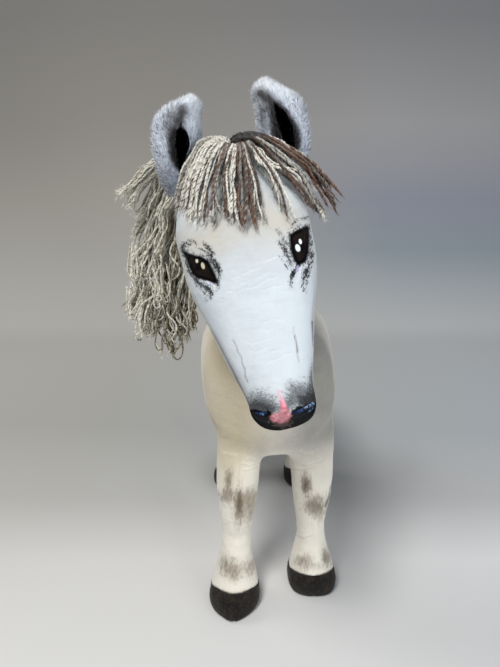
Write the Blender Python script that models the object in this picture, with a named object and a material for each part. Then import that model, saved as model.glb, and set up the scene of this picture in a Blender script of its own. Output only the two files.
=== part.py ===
"""A stuffed plush horse that stands on four soft legs with its head held to one side.

Fabric covers are shells round stuffing, a wire armature carries the legs, the neck and the head,
and yarn locks make the forelock, the mane and the tail. The horse faces -Y, and its left is +X.
Every length is in metres. A table whose name ends in SHARES gives shares of the sizes named beside it.
"""

import math

import bmesh
import bpy
from mathutils import Matrix, Vector

# Fabric, gaps and mesh fineness
COVER_WALL = 0.0022
SEAT_GAP = 0.0003
SOCKET_GAP = 0.0008
CUT_OVERRUN = 0.004
ROUND = 2.0
END_RINGS = 4
SWEEP_TURNS = 8
ROOM_SIDES = 24
ROOM_END_RINGS = 6
ROOM_LEVELS = 5
SHARP_DEG = 50.0
TORSO_RINGS = 7
TORSO_SIDES = 22
HEAD_RINGS = 8
HEAD_SIDES = 20
NECK_RINGS = 6
NECK_SIDES = 16
LEG_RINGS = 9
LEG_SIDES = 12
WIRE_SIDES = 6
EYE_TURNS = 12
RING_ROOM_SIDES = 12
LOCK_SIDES = 8
LOCK_STEPS = 3

# Torso
TORSO_LENGTH = 0.275
TORSO_WIDTH = 0.114
TORSO_HEIGHT = 0.122
TORSO_FRONT_Y = -0.115
BELLY_HEIGHT = 0.133
TORSO_ROLL_DEG = -4.5
TORSO_SQUARENESS = 2.35
# (share of the length, underside and top as shares of the height, half width as a share of the width)
TORSO_SHARES = (
    (0.00, 0.06, 0.76, 0.33),
    (0.08, -0.03, 0.87, 0.42),
    (0.22, -0.04, 0.98, 0.48),
    (0.40, -0.01, 0.99, 0.50),
    (0.56, 0.01, 0.95, 0.49),
    (0.72, 0.05, 0.95, 0.48),
    (0.86, 0.11, 0.97, 0.47),
    (1.00, 0.26, 0.88, 0.36),
)
TORSO_ROUND_FRONT_SHARE = 0.12
TORSO_ROUND_BACK_SHARE = 0.18

# Legs: each hangs on a pivot across the torso and ends in a hoof
LEG_RADIUS = 0.0192
LEG_SWING_DEG = 12.0
FRONT_PIVOT_Y = -0.076
FRONT_PIVOT_RISE = 0.017
FRONT_PIVOT_X = 0.0287
FRONT_MIDDLE_X = 0.0015
FRONT_SPLAY = 0.005
HIND_RADIUS = 0.0205
HIND_PIVOT_Y = 0.104
HIND_PIVOT_RISE = 0.025
HIND_PIVOT_X = 0.030
HIND_SPLAY = 0.013
RIGHT_FORE_REACH = 0.014
LEFT_FORE_REACH = -0.009
HIND_REACH = 0.004
# (drop as a share of the pivot height, set forward as a share of the same, half width and half depth as
# shares of the leg's radius)
FRONT_LEG_SHARES = (
    (0.00, 0.000, 1.00, 1.00),
    (0.22, 0.000, 0.95, 1.00),
    (0.42, 0.010, 0.80, 0.86),
    (0.60, -0.005, 0.65, 0.70),
    (0.72, -0.005, 0.68, 0.78),
    (0.84, 0.010, 0.93, 0.98),
    (0.93, 0.025, 1.07, 1.08),
    (1.00, 0.030, 1.04, 1.07),
)
HIND_LEG_SHARES = (
    (0.00, 0.000, 1.00, 1.00),
    (0.20, 0.040, 0.97, 1.08),
    (0.42, -0.050, 0.76, 0.86),
    (0.56, -0.115, 0.56, 0.68),
    (0.70, -0.085, 0.56, 0.66),
    (0.84, -0.035, 0.80, 0.93),
    (0.93, -0.005, 0.96, 1.12),
    (1.00, 0.005, 0.95, 1.17),
)
ROOM_SHARE = 0.34
ROOM_SQUARENESS = 3.2
HOOF_HEIGHT = 0.019
SOLE_THICKNESS = 0.003

# Neck: a round tapered form about one straight axis, so that the head turns on it
NECK_BASE = (-0.004, -0.046, 0.210)
NECK_TOP = (-0.016, -0.089, 0.306)
NECK_BASE_RADIUS = 0.042
NECK_TOP_RADIUS = 0.029
NECK_WAIST_SHARE = 0.90
NECK_NOD_DEG = 10.0
NECK_ROOM_SHARE = 0.6
NECK_IN_HEAD_SHARE = 0.05

# Head: built along the face from the poll to the nose
POLL = (-0.0380, -0.106, 0.366)
NOSE = (-0.0005, -0.2055, 0.2098)
FACE_ROLL_DEG = 12.5
HEAD_WIDTH = 0.098
HEAD_DEPTH = 0.092
HEAD_SQUARENESS = 2.3
JAW_NARROWING = 0.26
# (share of poll to nose, half width as a share of the width, rise of the face above the poll to nose line
# and full depth as shares of the depth)
HEAD_SHARES = (
    (0.00, 0.32, -0.02, 0.62),
    (0.10, 0.43, 0.04, 0.80),
    (0.24, 0.48, 0.09, 0.94),
    (0.40, 0.50, 0.11, 1.00),
    (0.52, 0.455, 0.09, 0.93),
    (0.64, 0.375, 0.055, 0.80),
    (0.76, 0.310, 0.03, 0.65),
    (0.88, 0.238, 0.01, 0.51),
    (1.00, 0.182, -0.01, 0.40),
)
HEAD_ROUND_POLL_SHARE = 0.16
HEAD_ROUND_NOSE_SHARE = 0.06
HEAD_TURN_DEG = 15.0

# Ears: two cupped leaves of fabric, sewn edge to edge
EAR_LENGTH = 0.060
EAR_WIDTH = 0.037
EAR_CUP_DEPTH = 0.017
EAR_OUTER_WALL = 0.0022
EAR_LINING_WALL = 0.0018
EAR_EDGE_STEPS = 1
EAR_ALONG = 0.014
EAR_APART = 0.0415
EAR_SET_BACK_SHARE = 0.293
EAR_LEFT_LEAN_DEG = 1.0
EAR_RIGHT_LEAN_DEG = -17.0
EAR_PITCH_DEG = 26.0
EAR_SWIVEL_DEG = 12.0
EAR_HALF_WRAP_DEG = 125.0
EAR_ROWS = 8
EAR_COLUMNS = 9
# (share of the length, half width as a share of the width, wrap as a share of the full wrap)
EAR_SHARES = (
    (0.00, 0.42, 1.00),
    (0.25, 0.49, 0.96),
    (0.50, 0.50, 0.88),
    (0.75, 0.47, 0.82),
    (0.92, 0.33, 0.78),
    (1.00, 0.17, 0.75),
)

# Yarn
FORELOCK_LENGTH = 0.062
FORELOCK_THICKNESS = 0.0055
FORELOCK_REACH = 0.050
FORELOCK_ROOT_SHARE = 0.22
FORELOCK_FLARE = 0.8
FORELOCK_SIDE_SHORTER = 0.28
FORELOCK_START_SHARE = 0.03
FORELOCK_BEARING_SHARE = 0.80
FORELOCK_PARTING = 0.0012
FORELOCK_ROWS = 5
FORELOCK_COLUMNS = 6
FORELOCK_WRAP_SIDES = 12
FORELOCK_WRAP_RADIUS = 0.0028
FORELOCK_WRAP_LENGTH = 0.018
FORELOCK_WRAP_STANDOFF = 0.0025
MANE_LOCKS = 4
MANE_HALF_WIDTH = 0.0150
MANE_HALF_THICKNESS = 0.0055
MANE_SPACING = 0.0138
MANE_HEAD_CLEARANCE = 0.0036
MANE_NEAR = 0.060
MANE_MIDDLE_Y = -0.030
MANE_TOP_SHARE = 0.76
MANE_LOW_SHARE = 0.32
MANE_TOP_RISE = 0.060
MANE_LOW_RISE = 0.030
MANE_ARCH_SHARE = 0.55
MANE_ROOT_BACK_SHARE = 0.80
MANE_ROOT_SIDE_SHARE = 0.25
MANE_LENGTH = 0.150
MANE_LENGTH_SHARES = (0.76, 0.84, 0.72, 0.42)
TAIL_LOCKS = 3
TAIL_LENGTH = 0.150
TAIL_HALF_WIDTH = 0.0085
TAIL_SPREAD = 0.0176
TAIL_SWING_IN_DEG = -6.0
TAIL_SWING_OUT_DEG = 35.0
TAIL_HEIGHT_SHARE = 0.80
TAIL_ROOT_DEPTH = 0.016
TAIL_STANDOFF = 0.030
TAIL_BEND_SHARE = 0.12
YARN_GAP = 0.0008
LOCK_SQUARENESS = 2.2
LOCK_TAPER_SHARES = (0.55, 0.90, 1.00, 0.95, 0.80, 0.52)

# Armature
WIRE_RADIUS = 0.0012
PIVOT_WIRE_RADIUS = 0.0012
EYE_CLEARANCE = 0.0002
CHANNEL_CLEARANCE = 0.0005
SPINE_PAST_PIVOTS = 0.012
PIVOT_WIRE_STUB = 0.006
PIVOT_WIRE_END_GAP = 0.0020
NECK_WIRE_PEAK = 0.040
HEAD_RING_RISE = 0.035
HEAD_WIRE_END_SHARE = 0.93
HEAD_WIRE_DEEPER_SHARE = 0.10
HEAD_WIRE_STEM_EYES = 3


def clear_scene():
    for obj in list(bpy.data.objects):
        bpy.data.objects.remove(obj)


def fabric(name, colour, roughness, metallic=0.0):
    """A plain surface in the colour that the photograph shows."""
    made = bpy.data.materials.new(name)
    made.use_nodes = True
    shader = made.node_tree.nodes["Principled BSDF"]
    shader.inputs["Base Color"].default_value = (*colour, 1.0)
    shader.inputs["Roughness"].default_value = roughness
    shader.inputs["Metallic"].default_value = metallic
    return made


def materials():
    return {
        "white_plush": fabric("white_plush", (0.80, 0.79, 0.76), 0.95),
        "stuffing": fabric("stuffing", (0.90, 0.90, 0.88), 1.0),
        "hoof_suede": fabric("hoof_suede", (0.035, 0.028, 0.022), 0.85),
        "grey_plush": fabric("grey_plush", (0.42, 0.43, 0.48), 0.95),
        "ear_lining": fabric("ear_lining", (0.10, 0.09, 0.09), 0.95),
        "forelock_yarn": fabric("forelock_yarn", (0.30, 0.24, 0.20), 0.8),
        "mane_yarn": fabric("mane_yarn", (0.42, 0.39, 0.32), 0.85),
        "armature_wire": fabric("armature_wire", (0.55, 0.55, 0.56), 0.35, 1.0),
    }


def blended(table, share):
    """One row of a share table at this place along it, on a smooth curve through the rows."""
    for low in range(len(table) - 2):
        if share < table[low + 1][0]:
            break
    else:
        low = len(table) - 2
    rows = [table[max(0, min(len(table) - 1, low + step))] for step in (-1, 0, 1, 2)]
    span = rows[2][0] - rows[1][0]
    t = (share - rows[1][0]) / span
    found = []
    for before, start, end, after in zip(*(row[1:] for row in rows)):
        rise_start = (end - before) / (rows[2][0] - rows[0][0]) * span
        rise_end = (after - start) / (rows[3][0] - rows[1][0]) * span
        found.append(
            (2 * t**3 - 3 * t**2 + 1) * start
            + (t**3 - 2 * t**2 + t) * rise_start
            + (3 * t**2 - 2 * t**3) * end
            + (t**3 - t**2) * rise_end
        )
    return found


def spaced_shares(round_first, round_last, rings):
    """Where a form's rings stand along it, closer together in its rounded ends: [(share, size)]."""
    first = [1 - math.cos(math.pi / 2 * k / END_RINGS) for k in range(END_RINGS + 1)]
    placed = [(round_first * s, math.sqrt(1 - (1 - s) ** 2)) for s in first]
    middle = 1 - round_first - round_last
    placed += [(round_first + middle * k / rings, 1.0) for k in range(1, rings + 1)]
    placed += [(1 - round_last * s, math.sqrt(1 - (1 - s) ** 2)) for s in first[-2::-1]]
    return placed


def ring_points(centre, across, up, half_width, half_height, squareness, sides, narrowing=0.0):
    """An oval section, squarer as squareness rises above 2, and narrower at the bottom by the narrowing."""
    points = []
    for k in range(sides):
        angle = math.tau * k / sides
        c, s = math.cos(angle), math.sin(angle)
        c = math.copysign(abs(c) ** (2 / squareness), c)
        s = math.copysign(abs(s) ** (2 / squareness), s)
        width_here = half_width * (1 + narrowing * (s - 1) / 2)
        points.append(centre + across * width_here * c + up * half_height * s)
    return points


def lofted(sections, sides):
    """A closed mesh through the sections, each (centre, across, up, half width, half height, squareness).

    An end section with no width closes in a point, and one with a width closes in a flat face."""
    bm = bmesh.new()
    rings = []
    for section in sections:
        if section[3] <= 0:
            rings.append([bm.verts.new(section[0])])
        else:
            rings.append([bm.verts.new(p) for p in ring_points(*section[:6], sides, *section[6:])])
    for low, high in zip(rings, rings[1:]):
        for k in range(sides):
            corners = [low[k % len(low)], low[(k + 1) % len(low)]]
            corners += [high[(k + 1) % len(high)], high[k % len(high)]]
            bm.faces.new(list(dict.fromkeys(corners)))
    for end in (rings[0], rings[-1]):
        if len(end) > 1:
            bm.faces.new(end)
    bmesh.ops.recalc_face_normals(bm, faces=bm.faces)
    return bm


def shrunk(bm, depth):
    """A copy of a closed mesh with its surface moved in by this depth, or out if it is negative."""
    copy = bm.copy()
    copy.normal_update()
    moves = [(v, v.normal * v.calc_shell_factor() * depth) for v in copy.verts]
    for vert, move in moves:
        vert.co -= move
    return copy


def shell(bm, wall):
    """The closed mesh as a fabric shell: its surface, and the same one wall further in, facing in."""
    inner = shrunk(bm, wall)
    bmesh.ops.reverse_faces(inner, faces=inner.faces)
    both = bm.copy()
    copies = {v: both.verts.new(v.co) for v in inner.verts}
    for face in inner.faces:
        both.faces.new([copies[v] for v in face.verts])
    inner.free()
    return both


def place(name, bm, material, parent, origin=(0, 0, 0)):
    """The mesh as a node whose origin is at the given point, such as its joint."""
    mesh = bpy.data.meshes.new(name)
    bm.to_mesh(mesh)
    mesh.transform(Matrix.Translation(-Vector(origin)))
    obj = bpy.data.objects.new(name, mesh)
    bpy.context.scene.collection.objects.link(obj)
    obj.data.materials.append(material)
    obj.data.shade_smooth()
    obj.data.set_sharp_from_angle(angle=math.radians(SHARP_DEG))
    obj.parent = parent
    obj.location = Vector(origin) - (parent_place(parent) if parent else Vector())
    return obj


def parent_place(parent):
    place_now = Vector()
    while parent:
        place_now += parent.location
        parent = parent.parent
    return place_now


def joint(name, point, parent, low_deg, high_deg):
    """The place that a moving piece turns about, with how far it turns each way."""
    made = empty(name, point, parent)
    made["low_deg"] = low_deg
    made["high_deg"] = high_deg
    return made


def empty(name, point, parent):
    """The frame that pieces hang from."""
    made = bpy.data.objects.new(name, None)
    bpy.context.scene.collection.objects.link(made)
    made.parent = parent
    made.location = Vector(point) - parent_place(parent)
    return made


def cutter(name, bm, parent):
    """A shape that only cuts others."""
    mesh = bpy.data.meshes.new(name)
    bm.to_mesh(mesh)
    obj = bpy.data.objects.new(name, mesh)
    bpy.context.scene.collection.objects.link(obj)
    mesh.transform(Matrix.Translation(-parent_place(parent)))
    obj.parent = parent
    obj.hide_render = True
    obj.display_type = "WIRE"
    return obj


def cut(obj, *tools, operation="DIFFERENCE"):
    for tool in tools:
        modifier = obj.modifiers.new("cut_" + tool.name, "BOOLEAN")
        modifier.operation = operation
        modifier.solver = "EXACT"
        modifier.object = tool


def box(low, high):
    corners = [[(x, y) for x in (low[0], high[0])] for y in (low[1], high[1])]
    return slab([[[Vector((x, y, z)) for x, y in row] for row in corners] for z in (low[2], high[2])])


def slab(layers):
    """A closed mesh between two grids of points that match row by row."""
    bm = bmesh.new()
    grids = [[[bm.verts.new(point) for point in row] for row in layer] for layer in layers]
    near, far = grids
    rows, columns = len(near) - 1, len(near[0]) - 1
    for r in range(rows):
        for c in range(columns):
            for grid in grids:
                bm.faces.new((grid[r][c], grid[r][c + 1], grid[r + 1][c + 1], grid[r + 1][c]))
        for c in (0, columns):
            bm.faces.new((near[r][c], near[r + 1][c], far[r + 1][c], far[r][c]))
    for r in (0, rows):
        for c in range(columns):
            bm.faces.new((near[r][c], near[r][c + 1], far[r][c + 1], far[r][c]))
    bmesh.ops.recalc_face_normals(bm, faces=bm.faces)
    return bm


def rod(start, end, radius, sides=WIRE_SIDES):
    """A straight round bar between two points."""
    start, end = Vector(start), Vector(end)
    along = (end - start).normalized()
    across = along.orthogonal().normalized()
    up = along.cross(across)
    return lofted([(p, across, up, radius, radius, ROUND) for p in (start, end)], sides)


def smooth_route(points, steps):
    """Points along one smooth curve through the route's own points."""
    found = []
    for k in range(len(points) - 1):
        nearby = [max(0, min(len(points) - 1, k + step)) for step in (-1, 0, 1, 2)]
        before, start, end, after = [Vector(points[index]) for index in nearby]
        for step in range(steps):
            t = step / steps
            bend = (2 * before - 5 * start + 4 * end - after) * t**2
            bend += (3 * start - before - 3 * end + after) * t**3
            found.append((2 * start + (end - before) * t + bend) / 2)
    return found + [Vector(points[-1])]


# Torso


def torso_sections():
    """Ovals across the body from the chest to the rump, rolled a little to the horse's right."""
    roll = Matrix.Rotation(math.radians(TORSO_ROLL_DEG), 3, "Y")
    belly = Vector((0, 0, BELLY_HEIGHT))
    sections = []
    for share, size in spaced_shares(TORSO_ROUND_FRONT_SHARE, TORSO_ROUND_BACK_SHARE, TORSO_RINGS):
        under, top, half = blended(TORSO_SHARES, share)
        middle = Vector((0, 0, TORSO_HEIGHT * (under + top) / 2))
        centre = belly + roll @ middle
        centre.y = TORSO_FRONT_Y + TORSO_LENGTH * share
        sections.append(
            (
                centre,
                roll @ Vector((1, 0, 0)),
                roll @ Vector((0, 0, 1)),
                TORSO_WIDTH * half * size,
                TORSO_HEIGHT * (top - under) / 2 * size,
                TORSO_SQUARENESS,
            )
        )
    return sections


def turned_torso(point, turn_deg):
    """The torso's outside as a piece that turned the other way about X at this point meets it."""
    form = shrunk(lofted(torso_sections(), TORSO_SIDES), -YARN_GAP)
    turned = Matrix.Rotation(math.radians(turn_deg), 3, "X")
    bmesh.ops.rotate(form, verts=form.verts, cent=Vector(point), matrix=turned)
    return form


def torso_half_width(point):
    """How far the torso's outside lies to either side of a point inside it, at the nearer side."""
    roll = Matrix.Rotation(math.radians(TORSO_ROLL_DEG), 3, "Y")
    under, top, half = blended(TORSO_SHARES, (point.y - TORSO_FRONT_Y) / TORSO_LENGTH)
    rise = (roll.inverted() @ (point - Vector((0, 0, BELLY_HEIGHT)))).z - TORSO_HEIGHT * (under + top) / 2
    rise = abs(rise) + TORSO_WIDTH * half * abs(math.sin(math.radians(TORSO_ROLL_DEG)))
    high = min(1.0, rise / (TORSO_HEIGHT * (top - under) / 2))
    bulge = (1 - high**TORSO_SQUARENESS) ** (1 / TORSO_SQUARENESS)
    return TORSO_WIDTH * half * bulge - abs(point.x)


# Legs


class Leg:
    """One leg: its pivot, how far its hoof stands out and forward, and its own taper."""

    def __init__(self, name, side, hind):
        self.name = name
        self.side = side
        self.hind = hind
        self.radius = HIND_RADIUS if hind else LEG_RADIUS
        self.shares = HIND_LEG_SHARES if hind else FRONT_LEG_SHARES
        self.splay = HIND_SPLAY if hind else FRONT_SPLAY
        self.reach = HIND_REACH if hind else (LEFT_FORE_REACH if side > 0 else RIGHT_FORE_REACH)
        height = BELLY_HEIGHT + (HIND_PIVOT_RISE if hind else FRONT_PIVOT_RISE)
        across = side * HIND_PIVOT_X if hind else FRONT_MIDDLE_X + side * FRONT_PIVOT_X
        self.pivot = Vector((across, HIND_PIVOT_Y if hind else FRONT_PIVOT_Y, height))

    def section(self, drop, grow=0.0):
        """The oval at this share of the drop from the pivot to the floor."""
        forward, half_width, half_depth = blended(self.shares, max(0.0, drop))
        height = self.pivot.z
        centre = self.pivot + Vector((self.side * self.splay * drop, 0, -height * drop))
        centre.y -= self.reach * drop + forward * height
        return (
            centre,
            Vector((1, 0, 0)),
            Vector((0, 1, 0)),
            self.radius * half_width + grow,
            self.radius * half_depth + grow,
            ROUND,
        )

    def sections(self):
        """The leg's outside, from its round top in the torso's socket down to the floor."""
        top = dome(self.pivot, Vector((1, 0, 0)), Vector((0, 1, 0)), self.radius, Vector((0, 0, 1)))
        return top + [self.section(k / LEG_RINGS) for k in range(LEG_RINGS + 1)]

    def form(self):
        return lofted(self.sections(), LEG_SIDES)

    def room(self):
        """The leg's top and all the room that it swings through, for the socket in the torso."""
        across, back, down = Vector((1, 0, 0)), Vector((0, 1, 0)), Vector((0, 0, -1))
        levels = [self.pivot.z * ROOM_SHARE * k / ROOM_LEVELS for k in range(ROOM_LEVELS + 1)]
        sections = dome(self.pivot, across, back, self.radius + SOCKET_GAP, -down, ROOM_END_RINGS)
        sections += swept(self.sections(), self.pivot, (across, back, down), LEG_SWING_DEG, levels)
        return lofted(sections, ROOM_SIDES)


def swept(sections, pivot, frame, turn_deg, levels):
    """The ovals, at these levels along the frame's last way, that hold the form while it turns both ways.

    The form turns about the X axis through the pivot, by as much as turn_deg."""
    across, back, axis = frame
    rings = [ring_points(*section[:6], ROOM_SIDES) for section in sections]
    turns = [turn_deg * (2 * k / SWEEP_TURNS - 1) for k in range(SWEEP_TURNS + 1)]
    found = []
    for level in levels:
        reached = []
        for turn in turns:
            rotation = Matrix.Rotation(math.radians(turn), 3, "X")
            for low, high in zip(rings, rings[1:]):
                for low_point, high_point in zip(low, high):
                    start, end = rotation @ (low_point - pivot), rotation @ (high_point - pivot)
                    before, after = start.dot(axis) - level, end.dot(axis) - level
                    if before * after <= 0 and before != after:
                        crossing = start.lerp(end, before / (before - after))
                        reached.append((crossing.dot(across), crossing.dot(back)))
        left, right = min(p[0] for p in reached), max(p[0] for p in reached)
        near, far = min(p[1] for p in reached), max(p[1] for p in reached)
        centre = pivot + axis * level + across * (left + right) / 2 + back * (near + far) / 2
        half_width, half_depth = (right - left) / 2 + SOCKET_GAP, (far - near) / 2 + SOCKET_GAP
        found.append((centre, across, back, half_width, half_depth, ROOM_SQUARENESS if found else ROUND))
    return found


def dome(centre, across, up, radius, towards, rings=END_RINGS):
    """The sections of a round end, from its tip to just short of its widest ring."""
    found = []
    for k in range(rings):
        angle = math.pi / 2 * k / rings
        size = radius * math.sin(angle)
        found.append((centre + towards * radius * math.cos(angle), across, up, size, size, ROUND))
    return found


def level_box(leg, name, low, high, parent):
    """A cutter that takes in all of the leg between two heights above the floor."""
    foot = leg.section(1.0)[0]
    reach = Vector((TORSO_WIDTH, TORSO_WIDTH, 0))
    form = box(foot - reach + Vector((0, 0, low)), foot + reach + Vector((0, 0, high)))
    return cutter(f"{leg.name}_{name}", form, parent)


def leg_wire_route(leg):
    """Down the middle of the leg from beside the pivot's eye to just above the sole."""
    low_share = 1 - (SOLE_THICKNESS + WIRE_RADIUS + 2 * CHANNEL_CLEARANCE) / leg.pivot.z
    first = (eye_radius() + WIRE_RADIUS / 2) / leg.pivot.z
    return [leg.section(first + (low_share - first) * k / LEG_RINGS)[0] for k in range(LEG_RINGS + 1)]


def eye_radius():
    return PIVOT_WIRE_RADIUS + EYE_CLEARANCE + WIRE_RADIUS


def eye(name, centre, axis, stem, material, parent):
    """A wire end bent into a ring round a pivot wire, with the stem that leads away from it."""
    axis = Vector(axis).normalized()
    toward = (Vector(stem[0]) - Vector(centre)).normalized()
    side = axis.cross(toward)
    bm = bmesh.new()
    rings = []
    for k in range(EYE_TURNS):
        angle = math.tau * k / EYE_TURNS
        out = toward * math.cos(angle) + side * math.sin(angle)
        middle = Vector(centre) + out * eye_radius()
        rings.append(
            [
                bm.verts.new(middle + out * WIRE_RADIUS * math.cos(a) + axis * WIRE_RADIUS * math.sin(a))
                for a in (math.tau * j / WIRE_SIDES for j in range(WIRE_SIDES))
            ]
        )
    for k in range(EYE_TURNS):
        ring, after = rings[k], rings[(k + 1) % EYE_TURNS]
        for j in range(WIRE_SIDES):
            bm.faces.new((ring[j], ring[(j + 1) % WIRE_SIDES], after[(j + 1) % WIRE_SIDES], after[j]))
    bmesh.ops.recalc_face_normals(bm, faces=bm.faces)
    node = place(name, bm, material, parent, centre)
    shank = stem_form(stem, WIRE_RADIUS)
    tool = cutter(name + "_shank", shank, parent)
    cut(node, tool, operation="UNION")
    return node


def stem_form(points, radius):
    """A round tube through the points, as a mesh."""
    points = [Vector(p) for p in points]
    sections = []
    across = None
    for k, point in enumerate(points):
        along = (points[min(k + 1, len(points) - 1)] - points[max(k - 1, 0)]).normalized()
        across = along.orthogonal() if across is None else across - along * across.dot(along)
        across = across.normalized()
        sections.append((point, across, along.cross(across), radius, radius, ROUND))
    return lofted(sections, WIRE_SIDES)


def build_leg(leg, looks, root, torso_nodes):
    """The leg's five pieces on its own pivot, and its socket in the torso."""
    pivot = joint(leg.name + "_pivot", leg.pivot, root, -LEG_SWING_DEG, LEG_SWING_DEG)
    outside = leg.form()
    inside = shrunk(outside, COVER_WALL + SEAT_GAP)
    below_hoof_top = level_box(leg, "below_hoof_top", -CUT_OVERRUN, HOOF_HEIGHT, pivot)
    above_leg = leg.pivot.z + TORSO_HEIGHT
    above_hoof_top = level_box(leg, "above_hoof_top", HOOF_HEIGHT - SEAT_GAP, above_leg, pivot)
    below_sole_top = level_box(leg, "below_sole_top", -CUT_OVERRUN, SOLE_THICKNESS + SEAT_GAP, pivot)
    sole_level = level_box(leg, "sole_level", -CUT_OVERRUN, SOLE_THICKNESS, pivot)
    cover = place(leg.name + "_cover", shell(outside, COVER_WALL), looks["white_plush"], pivot, leg.pivot)
    stuffing = place(leg.name + "_stuffing", inside, looks["stuffing"], pivot, leg.pivot)
    hoof = place(leg.name + "_hoof", shell(outside, COVER_WALL), looks["hoof_suede"], pivot, leg.pivot)
    sole = place(leg.name + "_sole", outside, looks["hoof_suede"], pivot, leg.pivot)

    inward = Vector((-leg.side, 0, 0))
    channel_radius = eye_radius() + WIRE_RADIUS + CHANNEL_CLEARANCE
    bore_end = leg.pivot - inward * (PIVOT_WIRE_STUB + CHANNEL_CLEARANCE)
    bore = cutter(
        leg.name + "_pivot_bore",
        rod(bore_end, leg.pivot + inward * (leg.radius + CUT_OVERRUN), channel_radius, RING_ROOM_SIDES),
        pivot,
    )
    route = leg_wire_route(leg)
    end = route[-1] + Vector((0, 0, -CHANNEL_CLEARANCE))
    channel = cutter(
        leg.name + "_wire_channel",
        stem_form([leg.pivot, *route, end], WIRE_RADIUS + CHANNEL_CLEARANCE),
        pivot,
    )
    cut(cover, bore, below_hoof_top)
    cut(stuffing, bore, channel, below_sole_top)
    cut(hoof, above_hoof_top, below_sole_top)
    cut(sole, sole_level, operation="INTERSECT")
    eye(leg.name + "_wire", leg.pivot, (1, 0, 0), route, looks["armature_wire"], pivot)

    room = cutter(leg.name + "_room", leg.room(), root)
    cut(torso_nodes[0], room)
    cut(torso_nodes[1], room)


# Neck


def neck_axis():
    return (Vector(NECK_TOP) - Vector(NECK_BASE)).normalized()


def neck_frame():
    """Across to the horse's left, and back towards its crest, both square to the neck's axis."""
    axis = neck_axis()
    across = (Vector((1, 0, 0)) - axis * axis.x).normalized()
    return across, axis.cross(across)


def neck_radius(share):
    """From the base's radius to the top's, drawn in a little between."""
    straight = NECK_BASE_RADIUS + (NECK_TOP_RADIUS - NECK_BASE_RADIUS) * share
    return straight * (1 - (1 - NECK_WAIST_SHARE) * math.sin(math.pi * share))


def neck_sections(grow=0.0, lowest=0.0):
    """Round sections about the neck's axis, from this share of it up to the top."""
    base, top = Vector(NECK_BASE), Vector(NECK_TOP)
    across, back = neck_frame()
    shares = [lowest + (1 - lowest) * k / NECK_RINGS for k in range(NECK_RINGS + 1)]
    return [
        (base.lerp(top, share), across, back, neck_radius(share) + grow, neck_radius(share) + grow, ROUND)
        for share in shares
    ]


def neck_form(grow=0.0, lowest=0.0):
    """The neck's outside, with a round end in the head, and one in the torso unless it starts higher up."""
    base, top, axis = Vector(NECK_BASE), Vector(NECK_TOP), neck_axis()
    across, back = neck_frame()
    sections = neck_sections(grow, lowest)
    if lowest == 0.0:
        sections = dome(base, across, back, NECK_BASE_RADIUS + grow, -axis) + sections
    sections += dome(top, across, back, NECK_TOP_RADIUS + grow, axis)[::-1]
    return lofted(sections, NECK_SIDES)


def neck_room():
    """The neck's round base and all the room that it nods through, for the socket in the torso."""
    base, axis = Vector(NECK_BASE), neck_axis()
    across, back = neck_frame()
    length = (Vector(NECK_TOP) - base).length
    levels = [length * NECK_ROOM_SHARE * k / ROOM_LEVELS for k in range(ROOM_LEVELS + 1)]
    form = dome(base, across, back, NECK_BASE_RADIUS, -axis) + neck_sections()
    sections = dome(base, across, back, NECK_BASE_RADIUS + SOCKET_GAP, -axis, ROOM_END_RINGS)
    sections += swept(form, base, (across, back, axis), NECK_NOD_DEG, levels)
    return lofted(sections, ROOM_SIDES)


# Head


def head_frame():
    """Along the face towards the nose, across to the horse's left, and out of the face."""
    along = (Vector(NOSE) - Vector(POLL)).normalized()
    roll = math.radians(FACE_ROLL_DEG)
    across = Vector((math.cos(roll), 0, math.sin(roll)))
    across = (across - along * across.dot(along)).normalized()
    return along, across, along.cross(across)


def head_length():
    return (Vector(NOSE) - Vector(POLL)).length


def head_point(share, across_by, out_by):
    """A point given along the face, across it and out from the line from poll to nose."""
    along, across, out = head_frame()
    return Vector(POLL) + along * head_length() * share + across * across_by + out * out_by


def head_sections():
    across, out = head_frame()[1:]
    sections = []
    for share, size in spaced_shares(HEAD_ROUND_POLL_SHARE, HEAD_ROUND_NOSE_SHARE, HEAD_RINGS):
        half, rise, depth = blended(HEAD_SHARES, share)
        half_depth = HEAD_DEPTH * depth / 2
        centre = head_point(share, 0, HEAD_DEPTH * rise - half_depth)
        sections.append(
            (
                centre,
                across,
                out,
                HEAD_WIDTH * half * size,
                half_depth * size,
                HEAD_SQUARENESS,
                JAW_NARROWING,
            )
        )
    return sections


def face_height(share, across_by):
    """How far the face stands out from the line from poll to nose at this place."""
    share = max(0.0, min(1.0, share))
    half, rise, depth = blended(HEAD_SHARES, share)
    size = 1.0
    if share < HEAD_ROUND_POLL_SHARE:
        size = math.sqrt(1 - (1 - share / HEAD_ROUND_POLL_SHARE) ** 2)
    half_width, half_depth = HEAD_WIDTH * half * size, HEAD_DEPTH * depth / 2
    aside = min(0.98, abs(across_by) / max(half_width, COVER_WALL))
    bulge = (1 - aside**HEAD_SQUARENESS) ** (1 / HEAD_SQUARENESS)
    return HEAD_DEPTH * rise - half_depth + half_depth * size * bulge


# Ears


def ear_frame(side):
    """The ear's root, its length, its width and the way its hollow faces."""
    along, across, out = head_frame()
    lean_deg = EAR_LEFT_LEAN_DEG if side > 0 else EAR_RIGHT_LEAN_DEG
    pitch = Matrix.Rotation(math.radians(EAR_PITCH_DEG), 3, across)
    lean = Matrix.Rotation(math.radians(-side * lean_deg), 3, out) @ pitch
    length = lean @ -along
    swivel = Matrix.Rotation(math.radians(side * EAR_SWIVEL_DEG), 3, length) @ lean
    root = head_point(0, side * EAR_APART, -HEAD_DEPTH * EAR_SET_BACK_SHARE) + along * EAR_ALONG
    return root, length, swivel @ across, swivel @ out


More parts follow.
